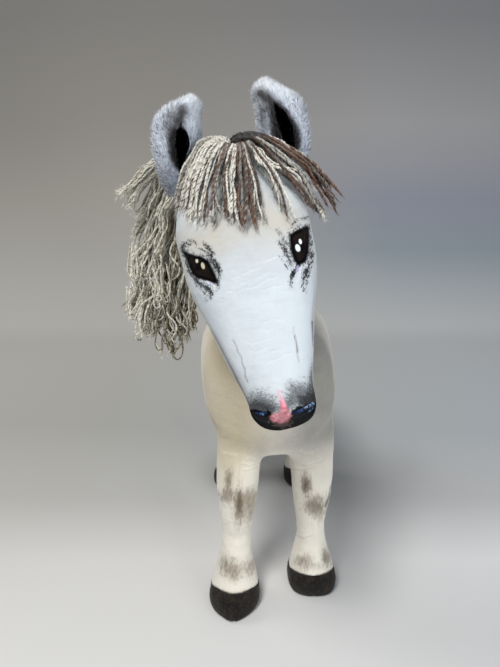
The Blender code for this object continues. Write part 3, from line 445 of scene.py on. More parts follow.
def squared(angle, squareness):
    """Cosine and sine on a curve between a circle and a square."""
    return (np.sign(v) * np.abs(v) ** (2 / squareness) for v in (np.cos(angle), np.sin(angle)))


def oval(centre, across, up, half_width, half_height, squareness=2.0, sides=72):
    c, s = squared(np.linspace(0, math.tau, sides, endpoint=False), squareness)
    return centre + np.outer(half_width * c, across) + np.outer(half_height * s, up)


def torso_mesh():
    roll = np.array(Matrix.Rotation(TORSO_ROLL, 3, "Y"))
    across, up = roll @ X, roll @ Z
    places = list(FRONT_END * (1 - np.cos(np.linspace(0.12, math.pi / 2, 14))))
    places += list(np.linspace(FRONT_END, 1 - BACK_END, 40)[1:-1])
    places += list(1 - BACK_END * (1 - np.cos(np.linspace(math.pi / 2, 0.12, 16))))
    rings = []
    for s in places:
        under, top, half = curve_rows(TORSO_TABLE, s)[0]
        size = 1.0
        if s < FRONT_END:
            size = math.sqrt(1 - (1 - s / FRONT_END) ** 2)
        if s > 1 - BACK_END:
            size = math.sqrt(max(0.0, 1 - ((s - 1 + BACK_END) / BACK_END) ** 2))
        centre = np.array([0, 0, BELLY]) + up * TORSO_HEIGHT * (under + top) / 2
        centre[1] = TORSO_FRONT + TORSO_LENGTH * s
        high = TORSO_HEIGHT * (top - under) / 2 * size
        rings.append(oval(centre, across, up, TORSO_WIDTH * half * size, high, 2.35, 96))
    return rings_to_mesh(rings)


def leg_row(name, drop):
    """Centre, half width and half depth of a leg at this share of the way from its pivot to the floor."""
    leg = LEGS[name]
    table = HIND_LEG_TABLE if name.startswith("hind") else FRONT_LEG_TABLE
    forward, wide, deep = curve_rows(table, max(0.0, drop))[0]
    pivot = np.array(leg["pivot"])
    centre = pivot + np.array([leg["side"] * leg["splay"] * drop, 0, -pivot[2] * drop])
    centre[1] -= leg["reach"] * drop + forward * pivot[2]
    return centre, leg["radius"] * wide, leg["radius"] * deep


def leg_mesh(name):
    rings = []
    leg = LEGS[name]
    for angle in np.linspace(0.15, math.pi / 2, 10)[:-1]:
        size = leg["radius"] * math.sin(angle)
        centre = np.array(leg["pivot"]) + np.array([0, 0, leg["radius"] * math.cos(angle)])
        rings.append(oval(centre, X, Y, size, size, 2.0, 64))
    for drop in np.linspace(0, 1 - 0.006 / leg["pivot"][2], 64):
        centre, wide, deep = leg_row(name, drop)
        rings.append(oval(centre, X, Y, wide, deep, 2.0, 64))
    return rings_to_mesh(rings)


def neck_frame():
    axis = unit(NECK_TOP - NECK_BASE)
    across = unit(X - axis * axis[0])
    return axis, across, np.cross(axis, across)


def neck_mesh():
    _, across, back = neck_frame()
    rings = []
    for share in np.linspace(-0.35, 1.12, 48):
        within = min(max(share, 0.0), 1.0)
        radius = between(*NECK_RADII, within)
        radius *= 1 - 0.10 * math.sin(math.pi * within)
        if share > 1.0:
            radius *= math.sqrt(max(0.02, 1 - ((share - 1.0) / 0.27) ** 2))
        rings.append(oval(between(NECK_BASE, NECK_TOP, share), across, back, radius, radius))
    return rings_to_mesh(rings)


def joined(name, parts):
    verts, faces, start = [], [], 0
    for v, f in parts:
        verts.append(v)
        faces += [tuple(i + start for i in face) for face in f]
        start += len(v)
    return new_object(name, np.concatenate(verts), faces)


def remesh(obj, size):
    modifier = obj.modifiers.new("remesh", "REMESH")
    modifier.mode = "VOXEL"
    modifier.voxel_size = size
    modifier.use_smooth_shade = True
    apply_modifiers(obj)


def relax(obj, weight, rounds):
    """Moves each vertex towards the mean of its neighbours, as far as its weight from 0 to 1 allows."""
    edges = np.empty(len(obj.data.edges) * 2, int)
    obj.data.edges.foreach_get("vertices", edges)
    one, other = edges.reshape(-1, 2).T
    co = coords(obj)
    count = np.bincount(edges, minlength=len(co)).astype(float)[:, None]
    for _ in range(rounds):
        sums = [np.bincount(one, v[other], len(co)) + np.bincount(other, v[one], len(co)) for v in co.T]
        co += (np.stack(sums, axis=1) / np.maximum(count, 1) - co) * weight[:, None] * 0.5
    set_coords(obj, co)


def split_by(obj, name, point, direction, keep_within=None):
    """Cuts off what lies beyond the plane, and within the given centre and radius, as a new object."""
    point, direction = Vector(point), Vector(direction)
    bm = bmesh.new()
    bm.from_mesh(obj.data)
    geometry = bm.verts[:] + bm.edges[:] + bm.faces[:]
    bmesh.ops.bisect_plane(bm, geom=geometry, dist=1e-6, plane_co=point, plane_no=direction)
    taken = []
    for face in bm.faces:
        middle = face.calc_center_median()
        beyond = (middle - point).dot(direction) > 0
        if beyond and keep_within:
            beyond = (middle.xy - Vector(keep_within[0]).xy).length < keep_within[1]
        if beyond:
            taken.append(face)
    other = bm.copy()
    bm.faces.index_update()
    other.faces.ensure_lookup_table()
    chosen = {f.index for f in taken}
    bmesh.ops.delete(other, geom=[f for f in other.faces if f.index not in chosen], context="FACES")
    bmesh.ops.delete(bm, geom=taken, context="FACES")
    mesh = bpy.data.meshes.new(name)
    other.to_mesh(mesh)
    bm.to_mesh(obj.data)
    bm.free()
    other.free()
    mesh.shade_smooth()
    return link_object(name, mesh)


# The stuffed body: one skin over the torso, the neck and the legs, cut only where it crosses a joint

VOXEL = 0.0022
LEG_PLANE, LEG_WITHIN = 0.1272, 0.048  # a leg's skin: below this height, within this radius of the leg
NECK_CUT = 0.044  # along the neck from its base
body = joined("torso_skin", [torso_mesh(), neck_mesh()] + [leg_mesh(name) for name in LEGS])
remesh(body, VOXEL)
co = coords(body)
axis, neck_across, neck_back = neck_frame()
softness = np.zeros(len(co))
for name, leg in LEGS.items():
    middle = np.array(leg["pivot"]) + np.array([0, 0, -0.012])
    distance = np.linalg.norm((co - middle) / np.array([1.0, 1.1, 1.25]), axis=1)
    softness = np.maximum(softness, 1 - smooth(0.016, 0.036, distance))
neck_height = (co - NECK_BASE) @ axis
around_base = 1 - smooth(0.014, 0.034, np.abs(neck_height - 0.040))
softness = np.maximum(softness, around_base)
relax(body, softness, 42)
relax(body, np.ones(len(co)), 3)
co = coords(body)
no = normals(body)
dimple = fractal(co, 0.034, 3, 3) - 0.5
fold = fractal(co * np.array([1.0, 1.0, 2.6]), 0.020, 9, 2) - 0.5
low_leg = smooth(0.125, 0.100, co[:, 2])
above_hoof = smooth(0.018, 0.034, co[:, 2])
uneven = (dimple * 0.0022 + fold * (0.0008 + 0.0006 * low_leg)) * (0.15 + 0.85 * above_hoof)
in_hoof = smooth(0.0172, 0.0148, co[:, 2])
set_coords(body, co + no * (uneven - 0.0009 * in_hoof)[:, None])


def refine(obj, boxes, cuts, toward):
    """Splits the faces that show inside these rectangles of the picture into smaller ones."""
    bm = bmesh.new()
    bm.from_mesh(obj.data)
    bm.verts.ensure_lookup_table()
    p = np.array([v.co for v in bm.verts])
    px, py = to_pixels(p)
    facing = np.array([v.normal for v in bm.verts]) @ np.asarray(toward, float) > -0.25
    inside = np.zeros(len(p), bool)
    for x0, y0, x1, y1 in boxes:
        inside |= (px > x0) & (px < x1) & (py > y0) & (py < y1) & facing
    edges = set()
    for face in bm.faces:
        if all(inside[v.index] for v in face.verts):
            edges.update(face.edges)
    bmesh.ops.subdivide_edges(bm, edges=list(edges), cuts=cuts, use_grid_fill=True)
    bm.to_mesh(obj.data)
    bm.free()


def ellipse(px, py, cx, cy, rx, ry, turn):
    """Distance from an ellipse's centre, 1 on its edge."""
    a = math.radians(turn)
    dx, dy = px - cx, py - cy
    u = (dx * math.cos(a) + dy * math.sin(a)) / rx
    v = (-dx * math.sin(a) + dy * math.cos(a)) / ry
    return np.sqrt(u * u + v * v)


def line_distance(px, py, start, end):
    """Distance from a line, and the share of the way along it at which it is nearest."""
    dx, dy = end[0] - start[0], end[1] - start[1]
    t = np.clip(((px - start[0]) * dx + (py - start[1]) * dy) / (dx * dx + dy * dy), 0, 1)
    return np.hypot(px - start[0] - t * dx, py - start[1] - t * dy), t


def depth_inside(px, py, outline):
    """How far inside a closed outline each place is, in picture units, negative outside it."""
    best = np.full(len(px), 1e9)
    inside = np.zeros(len(px), bool)
    for start, end in zip(outline, outline[1:] + outline[:1]):
        best = np.minimum(best, line_distance(px, py, start, end)[0])
        crosses = (start[1] > py) != (end[1] > py)
        if start[1] != end[1]:
            at = start[0] + (py - start[1]) / (end[1] - start[1]) * (end[0] - start[0])
            inside ^= crosses & (px < at)
    return np.where(inside, best, -best)


CORNER_CUT = 0.17  # as a share of the sides


def rounded(outline):
    """The outline with each corner cut once."""
    points = np.array(outline, float)
    ahead = np.roll(points, -1, axis=0)
    cut = np.stack([between(points, ahead, CORNER_CUT), between(ahead, points, CORNER_CUT)], axis=1)
    return [tuple(spot) for spot in cut.reshape(-1, 2)]


THINNEST = 0.15  # half the width of the finest brush stroke, in the picture


def stroke(px, py, points, width, end_width, soft):
    """A brush stroke along these picture points, 1 in its middle and 0 outside it."""
    mask = np.zeros(len(px))
    run, total = 0.0, sum(math.dist(a, b) for a, b in zip(points, points[1:]))
    for a, b in zip(points, points[1:]):
        away, t = line_distance(px, py, a, b)
        long = math.dist(a, b)
        here = np.maximum(width + (end_width - width) * (run + t * long) / total, THINNEST)
        mask = np.maximum(mask, 1 - smooth(here - soft, here + soft, away))
        run += long
    return mask


def streaks(px, py, turn, long, wide, seed, octaves=2):
    """Noise drawn out along one way in the picture."""
    a = math.radians(turn)
    u, v = px * math.cos(a) + py * math.sin(a), -px * math.sin(a) + py * math.cos(a)
    return fractal(np.stack([u / long, v / wide, 0 * u], axis=1), 1.0, seed, octaves)


def flecks(px, py, soft, turn, seed, long, wide, cover, blur):
    """Paint dragged over the pile: it holds in flecks, closer together where the brush pressed."""
    fine = streaks(px, py, turn, long, wide, seed, 1)
    loose = streaks(px, py, turn, long * 3.2, wide * 3.0, seed + 300)
    soft = np.clip(soft, 0, 1)
    kept = smooth(-blur, blur, soft * (cover + 0.34) + fine * 0.80 + (loose - 0.5) * 0.55 - 1.02)
    return kept * smooth(0.02, 0.16, soft)


def patch(px, py, cx, cy, rx, ry, turn=0.0):
    """An airbrushed spot, 1 in its middle."""
    return 1 - smooth(0.0, 1.35, ellipse(px, py, cx, cy, rx, ry, turn))


INK, SOOT, DUST = srgb(9, 8, 10), srgb(54, 50, 52), srgb(150, 145, 142)
UMBER = srgb(96, 82, 72)
PAPER = np.array([0.812, 0.769, 0.674])
SNOW = np.array([0.635, 0.690, 0.735])
UMBER_WASH, SMOKE, BARE = srgb(86, 60, 30), srgb(104, 86, 54), srgb(58, 44, 30)
LEG_MARKS = (
    # centre, half width, half height, turn, the way it is dragged, tone, strength, how close its flecks lie
    (228.5, 479, 6, 15, 4, 92, SMOKE, 0.55, 0.66),
    (229, 482, 4, 11, 4, 92, UMBER_WASH, 0.60, 0.66),
    (228, 496, 9, 9, 0, 92, UMBER_WASH, 0.75, 0.78),
    (238.5, 506, 6, 22, 0, 91, UMBER_WASH, 0.80, 0.80),
    (239, 502, 3, 14, 0, 91, BARE, 0.80, 0.80),
    (250, 497, 11, 10, -8, 92, SMOKE, 0.60, 0.80),
    (246, 507, 12, 16, 14, 95, SMOKE, 0.45, 0.70),
    (250, 513, 4, 15, 8, 96, SMOKE, 0.45, 0.66),
    (224, 563, 6, 12, 0, 100, SMOKE, 0.50, 0.56),
    (231, 568, 12, 12, 20, 95, UMBER_WASH, 0.65, 0.66),
    (234, 575, 9, 8, 20, 90, UMBER_WASH, 0.45, 0.56),
    (250, 568, 9, 10, 0, 88, UMBER_WASH, 0.60, 0.68),
    (253, 561, 4, 7, 0, 88, SMOKE, 0.40, 0.60),
    (306, 485, 5.5, 13, -4, 88, UMBER_WASH, 0.85, 0.86),
    (305.5, 484, 3, 8, -4, 88, BARE, 0.60, 0.80),
    (316, 504, 13, 12, -30, 95, SMOKE, 0.70, 0.84),
    (314, 508, 8, 9, -20, 95, BARE, 0.45, 0.70),
    (320, 513, 5, 11, 0, 92, SMOKE, 0.45, 0.64),
    (299, 561, 6, 6, 0, 90, UMBER_WASH, 0.55, 0.62),
    (306, 562, 8, 9, 0, 90, UMBER_WASH, 0.65, 0.68),
    (317, 566, 7, 5, 0, 90, SMOKE, 0.35, 0.54),
    (327, 557, 7, 13, -6, 84, SMOKE, 0.70, 0.78),
    (326, 559, 4, 8, 0, 84, BARE, 0.50, 0.70),
)


def paint_body(obj):
    """White plush: airbrushed marks on the legs, faint seams, painted creases, painted shade under the head
    and over the tops of the front legs, and painted light that makes one side of the legs darker than the
    other.
    """
    p = coords(obj)
    n = normals(obj)
    px, py = to_pixels(p)
    # Painted light: below the chest, the horse's right side is made a little darker and its left side a
    # little lighter.
    legs = smooth(450, 490, py)  # the leg on the right side is a little greyer
    colour = PAPER * (1 + (0.055 * smooth(262, 284, px) - 0.06 * smooth(284, 262, px)) * legs)[:, None]

    def lay(mask, tone, strength):
        nonlocal colour
        colour = between(colour, np.asarray(tone), (np.clip(mask, 0, 1) * strength)[:, None])

    def line(points, *sizes):
        return stroke(px, py, points, *sizes)

    def dab(*shape):
        return patch(px, py, *shape)

    front = (p[:, 1] < -0.03) * smooth(0.35, -0.15, n[:, 1])
    # Painted shade under the head: on the chest, warm on one side and grey on the other, and over the tops of
    # the front legs.
    shade_under_head = smooth(0.118, 0.150, p[:, 2]) * smooth(-0.03, -0.09, p[:, 1]) * smooth(0.2, -0.4, n[:, 1])
    lay(shade_under_head * smooth(0.012, -0.030, p[:, 0]), srgb(180, 167, 136), 0.90)
    lay(shade_under_head * smooth(-0.012, 0.030, p[:, 0]), srgb(126, 125, 120), 0.96)
    lay(shade_under_head * dab(282, 448, 44, 22), srgb(158, 153, 144), 0.45)
    lay(front * dab(228, 452, 26, 34), srgb(190, 176, 142), 0.75)
    lay(front * dab(262, 452, 10, 26), srgb(176, 170, 156), 0.55)
    lay(front * dab(318, 462, 20, 26), srgb(196, 192, 180), 0.55)
    clouds = smooth(0.0, 0.9, fractal(p, 0.016, 81, 3)) * smooth(0.5, 0.1, np.abs(n[:, 2]))
    lay(clouds, srgb(214, 208, 192), 0.22)
    for k, (cx, cy, rx, ry, turn, flow, tone, strength, cover) in enumerate(LEG_MARKS):
        soft = dab(cx, cy, rx * 1.25, ry * 1.25, turn)
        lay(soft**1.3 * front, tone, strength * 0.50)
        held = flecks(px, py, soft, flow, 600 + k, 2.6, 0.9, cover - 0.14, 0.36)
        lay(held * front, tone, strength * 0.70)
    lay(line([(330.5, 486), (329, 496), (325.5, 506)], 0.5, 1.2, 0.9) * front, SOOT, 0.75)
    thread = srgb(168, 166, 164)
    for points in (
        [(243.5, 415), (242, 440), (240.5, 462), (238, 482)],
        [(309, 424), (312, 436), (315, 447), (316, 458)],
        [(288, 455), (300, 451.5), (315, 447), (330, 440)],
    ):
        lay(line(points, 0.3, 0.3, 0.9) * front, thread, 0.45)
    # Painted creases over the tops of the legs: a line of painted shade, and a painted highlight just above
    # it.
    for points in (
        [(242.5, 458), (252, 459.4), (262, 463)],
        [(241, 464), (250, 466), (260.5, 462.6)],
        [(243.5, 470.5), (251, 469.4), (258, 466)],
        [(222, 452), (229, 456), (238, 457)],
        [(295, 462.5), (306, 466), (322, 461.5)],
        [(292.5, 469), (303, 470), (316, 466)],
        [(300, 452), (309, 456), (318, 452)],
        [(296, 535), (304, 538), (313, 535)],
    ):
        above = [(x, y - 1.6) for x, y in points]
        lay(line(points, 0.5, 0.4, 1.4) * front, srgb(170, 164, 148), 0.42)
        lay(line(above, 0.6, 0.4, 1.5) * front, srgb(250, 246, 234), 0.32)
    # The legs' other sides carry marks of the same kind.
    behind = 1 - front
    for k, (name, leg) in enumerate(LEGS.items()):
        for height, size, strength in ((0.056, 0.021, 0.60), (0.030, 0.017, 0.65), (0.074, 0.013, 0.35)):
            centre = leg_row(name, 1 - height / leg["pivot"][2])[0]
            back = centre + np.array([0.009 * leg["side"], 0.010, 0])
            away = np.linalg.norm((p - back) / np.array([1.0, 1.0, 1.5]), axis=1) / size
            drawn = fractal(p * np.array([1.0, 1.0, 0.34]), 0.0022, 40 + k, 3)
            held = smooth(-0.06, 0.16, (1 - smooth(0.0, 1.3, away)) * 0.78 + drawn - 0.92)
            lay(held * behind, UMBER_WASH, strength)
            lay((1 - smooth(0.2, 1.3, away)) * behind, UMBER_WASH, strength * 0.25)
    paint(obj, colour)


white_plush = plush_material("white_plush_look")
skins = {}
for name in LEGS:
    foot = leg_row(name, 0.6)[0]
    skins[name] = split_by(
        body, name + "_skin", (0, 0, LEG_PLANE), (0, 0, -1), keep_within=((foot[0], foot[1], 0), LEG_WITHIN)
    )
neck_cut = NECK_BASE + axis * NECK_CUT
neck_skin = split_by(body, "neck_skin", neck_cut, axis)
for name, piece in skins.items():
    if name.startswith("front"):
        refine(piece, [(208, 462, 262, 590), (288, 462, 338, 582)], 2, (0, -1, 0))
    paint_body(piece)
    finish_piece(piece, white_plush)
    x, y, _ = np.array(LEGS[name]["pivot"]) + SHIFT
    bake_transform(piece)
    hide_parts(name + "_cover", name + "_stuffing", name + "_wire")
paint_body(neck_skin)
finish_piece(neck_skin, white_plush)
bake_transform(neck_skin)
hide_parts("neck_cover", "neck_stuffing", "neck_wire")
paint_body(body)
finish_piece(body, white_plush)
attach(body, "torso")
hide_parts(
    "torso_cover", "torso_stuffing", "spine_wire", "shoulder_wire", "hip_wire", "neck_pivot_wire"
)


# The head


def head_frame():
    along = unit(NOSE - POLL)
    across = np.array([math.cos(FACE_ROLL), 0, math.sin(FACE_ROLL)])
    across = unit(across - along * (across @ along))
    return along, across, np.cross(along, across)


HEAD_ALONG, HEAD_ACROSS, HEAD_OUT = head_frame()
HEAD_LENGTH = float(np.linalg.norm(NOSE - POLL))
# The shares of the head that are rounded off at the crown, and from where and over how much at the muzzle
CROWN, MUZZLE_START, MUZZLE = 0.16, 0.945, 0.055
MUZZLE_SQUARENESS = 2.7


def head_size(share):
    if share < CROWN:
        return math.sqrt(max(0.0, 1 - (1 - share / CROWN) ** 2))
    if share > MUZZLE_START:
        left = max(0.0, 1 - ((share - MUZZLE_START) / MUZZLE) ** MUZZLE_SQUARENESS)
        return left ** (1 / MUZZLE_SQUARENESS)
    return 1.0


def head_surface(share, angle):
    half, rise, depth = curve_rows(HEAD_TABLE, share)[0]
    size = head_size(share)
    half_depth = HEAD_DEPTH * depth / 2
    centre = POLL + HEAD_ALONG * HEAD_LENGTH * share + HEAD_OUT * (HEAD_DEPTH * rise - half_depth)
    narrowing = JAW_NARROWING * (1 - 0.9 * float(smooth(0.80, 0.96, share)))
    c, s = squared(angle, HEAD_SQUARENESS + 1.8 * float(smooth(0.84, 0.97, share)))
    wide = HEAD_WIDTH * half * size * (1 + narrowing * (s - 1) / 2)
    return centre + np.outer(wide * c, HEAD_ACROSS) + np.outer(half_depth * size * s, HEAD_OUT)


def head_mesh():
    places = list(CROWN * (1 - np.cos(np.linspace(0.05, math.pi / 2, 26))))
    places += list(np.linspace(CROWN, MUZZLE_START, 150)[1:-1])
    places += list(1 - MUZZLE * (1 - np.cos(np.linspace(math.pi / 2, 0.03, 26))))
    turn = np.linspace(0, math.tau, 190, endpoint=False)
    angle = turn + 0.25 * np.cos(turn)  # closer together on the face than on the jaw
    return rings_to_mesh([head_surface(s, angle) for s in places])


SWELLINGS = (
    # brow, eye socket and nostril: share of the face, half length, distance from the middle, half width, rise
    (0.30, 0.055, 0.034, 0.012, 0.0016),
    (0.40, 0.050, 0.037, 0.010, -0.0012),
    (0.945, 0.040, 0.0165, 0.0075, 0.0016),
)


head = new_object("head_skin", *head_mesh())
co = coords(head)
no = normals(head)
share, across = (co - POLL) @ HEAD_ALONG / HEAD_LENGTH, (co - POLL) @ HEAD_ACROSS
front = smooth(-0.35, 0.25, no @ HEAD_OUT)
lift = np.zeros(len(co))
for side in (1, -1):
    lift += sum(
        bell(share - at, long, across - side * aside, wide) * rise
        for at, long, aside, wide, rise in SWELLINGS
    )
bridge = bell(across, 0.010) * smooth(0.50, 0.62, share) * smooth(0.95, 0.85, share)
lift += bridge * 0.0010
crumple = fractal(co, 0.030, 21, 3) - 0.5
waver = 0.012 * (fractal(co, 0.022, 30, 3) - 0.5)
ripples = np.sin((share * HEAD_LENGTH + 0.10 * across + waver) / 0.00095)
rippled = fractal(co * np.array([1.0, 1.6, 1.6]), 0.020, 35, 2)
ripples *= smooth(0.44, 0.60, rippled) * smooth(0.92, 0.85, share)
slack = smooth(0.0, -0.012, across) * 0.0034 - smooth(0.0, 0.012, across) * 0.0016
slack = smooth(0.78, 0.93, share) * slack
tuck = smooth(0.86, 0.97, share) * smooth(-0.30, -0.85, no @ HEAD_OUT) * 0.0018
lift = lift * front + crumple * 0.0018 + ripples * 0.00013 * front
moved = no * lift[:, None]
set_coords(head, co + moved + HEAD_ACROSS * slack[:, None] + HEAD_OUT * tuck[:, None])
refine(head, [(176, 212, 232, 306), (268, 208, 324, 294), (244, 372, 320, 436)], 3, HEAD_OUT)
head.data.shade_smooth()

# Outlines and lines of the face in the picture
LEFT_EYE = [(181.8, 250.6), (187, 253), (192, 255.4), (201, 257), (207.5, 260.6), (211.8, 268.5)]
LEFT_EYE += [(215.2, 276.5), (217.2, 283.6), (211.5, 282), (205, 279.4), (198, 278), (193, 274)]
LEFT_EYE += [(189.6, 266.5), (186.4, 258)]
RIGHT_EYE = [(290, 236), (294, 232.4), (298.6, 230), (304, 228), (308.2, 226.4), (309, 238), (308.4, 250)]
RIGHT_EYE += [(305.8, 260.6), (301.5, 263.4), (298.4, 264.6), (295, 260.8), (292.4, 253), (290.8, 244)]
CHEEK_FOLD = [(233, 340), (236.5, 346), (238, 352), (241.5, 357), (242.2, 363), (245, 370)]
CHEEK_FOLD += [(245.2, 376), (247.8, 382)]
FAR_FOLD = [(293.4, 327), (293.6, 333), (295.4, 338), (296.2, 343), (297.6, 348)]
FAR_FOLD += [(297.2, 354), (299, 362)]
CHEEK_SEAM = [(192, 297), (201, 315), (217, 340), (235, 375), (248, 403), (254, 412)]
MUZZLE_EDGE = [(247, 409), (255, 410), (262, 411), (269, 411), (272, 414), (274, 418), (280, 420.5)]
MUZZLE_EDGE += [(286, 419.5), (290, 416), (291.4, 411), (296, 407.5), (304, 405), (316, 401), (322, 410)]
MUZZLE_EDGE += [(316, 426), (300, 438), (270, 440), (252, 434), (244, 414)]
PINK_EDGE = [(280, 400), (284, 403), (286, 406), (289.5, 410), (291.5, 416), (289, 421), (281, 423)]
PINK_EDGE += [(273, 421.5), (269, 416.5), (273.5, 413), (280, 411)]
EYE_MARKS = (
    # path, width at its start and end, the way the pile drags it, tone, how closely the flecks lie
    ([(182.5, 249), (183.5, 243.5), (188, 240.8), (193, 241.6), (195.5, 244)], 3.0, 1.5, 20, INK, 0.66),
    ([(183, 246), (187, 243.5), (190, 245)], 2.6, 1.6, 20, INK, 0.62),
    ([(196, 248), (203, 250), (207, 253)], 1.6, 1.6, 35, INK, 0.46),
    ([(204, 244), (209, 248), (212, 253), (210.5, 258)], 2.4, 3.0, 50, INK, 0.62),
    ([(209, 255), (212.5, 260), (216, 265), (218.5, 271)], 2.6, 3.6, 55, INK, 0.66),
    ([(214, 262), (219, 268), (219.6, 275), (217.5, 280)], 3.4, 2.4, 60, INK, 0.70),
    ([(216, 282), (219, 287), (216, 291)], 1.8, 0.8, 70, INK, 0.64),
    ([(186.5, 262), (188.5, 270), (192.5, 277), (198, 282.5)], 1.4, 2.4, 55, INK, 0.66),
    ([(196, 281), (202, 285), (208, 288.5), (211, 293)], 2.6, 3.2, 40, INK, 0.68),
    ([(207, 287), (211, 292), (210.5, 298), (207, 300)], 3.2, 1.5, 70, INK, 0.64),
    ([(196, 284), (203, 291), (206, 296)], 2.4, 1.5, 50, SOOT, 0.52),
    ([(292, 225), (297, 221), (303, 218.6), (308, 217.4)], 1.8, 2.2, -20, INK, 0.60),
    ([(289, 229), (295, 226), (301, 224.5)], 1.2, 1.2, -20, SOOT, 0.44),
    ([(277, 230), (282, 236), (286, 244)], 2.8, 3.2, 60, SOOT, 0.42),
    ([(280, 242), (284, 250), (288, 258), (290, 265)], 3.4, 2.6, 62, SOOT, 0.56),
    ([(285, 247), (288, 255), (291, 264)], 2.2, 1.8, 62, INK, 0.52),
    ([(289, 233), (289.6, 242), (291.4, 252)], 1.8, 1.2, 80, INK, 0.60),
    ([(279, 256), (284, 262), (288, 269)], 1.2, 1.2, 55, SOOT, 0.42),
    ([(297.6, 263), (296.2, 269), (294.4, 273), (292, 276)], 2.2, 2.0, 100, INK, 0.82),
    ([(293.6, 271), (291.6, 276), (290.4, 281), (291.4, 287)], 2.6, 2.0, 100, INK, 0.70),
    ([(311.6, 240), (312.4, 248), (311.6, 256)], 0.9, 2.2, 95, INK, 0.60),
    ([(311.4, 254), (310.6, 262), (307.6, 270), (305, 276)], 2.4, 3.0, 105, INK, 0.72),
    ([(306.4, 270), (303.4, 278), (302.6, 286), (304, 290)], 3.4, 1.8, 98, INK, 0.68),
    ([(308.6, 276), (306.6, 284), (304.6, 291)], 1.8, 1.0, 100, SOOT, 0.50),
)
WRINKLES = (
    # across the face, as runs of places in the picture
    [(233, 277), (243, 273), (252, 269), (262, 266)],
    [(238, 284), (249, 279), (258, 277), (268, 271)],
    [(246, 288), (257, 285), (266, 279), (277, 276)],
    [(228, 290), (237, 291), (247, 286)],
    [(256, 262), (266, 260), (275, 256)],
    [(262, 290), (272, 286), (281, 285)],
    [(236, 312), (247, 309), (256, 311)],
    [(262, 322), (273, 318), (283, 319)],
    [(243, 340), (253, 343), (262, 339), (271, 337)],
    [(254, 358), (264, 354), (273, 350), (283, 349)],
    [(248, 350), (257, 351), (265, 347)],
    [(268, 360), (277, 358), (286, 353), (292, 352)],
    [(252, 330), (261, 328), (269, 330)],
)


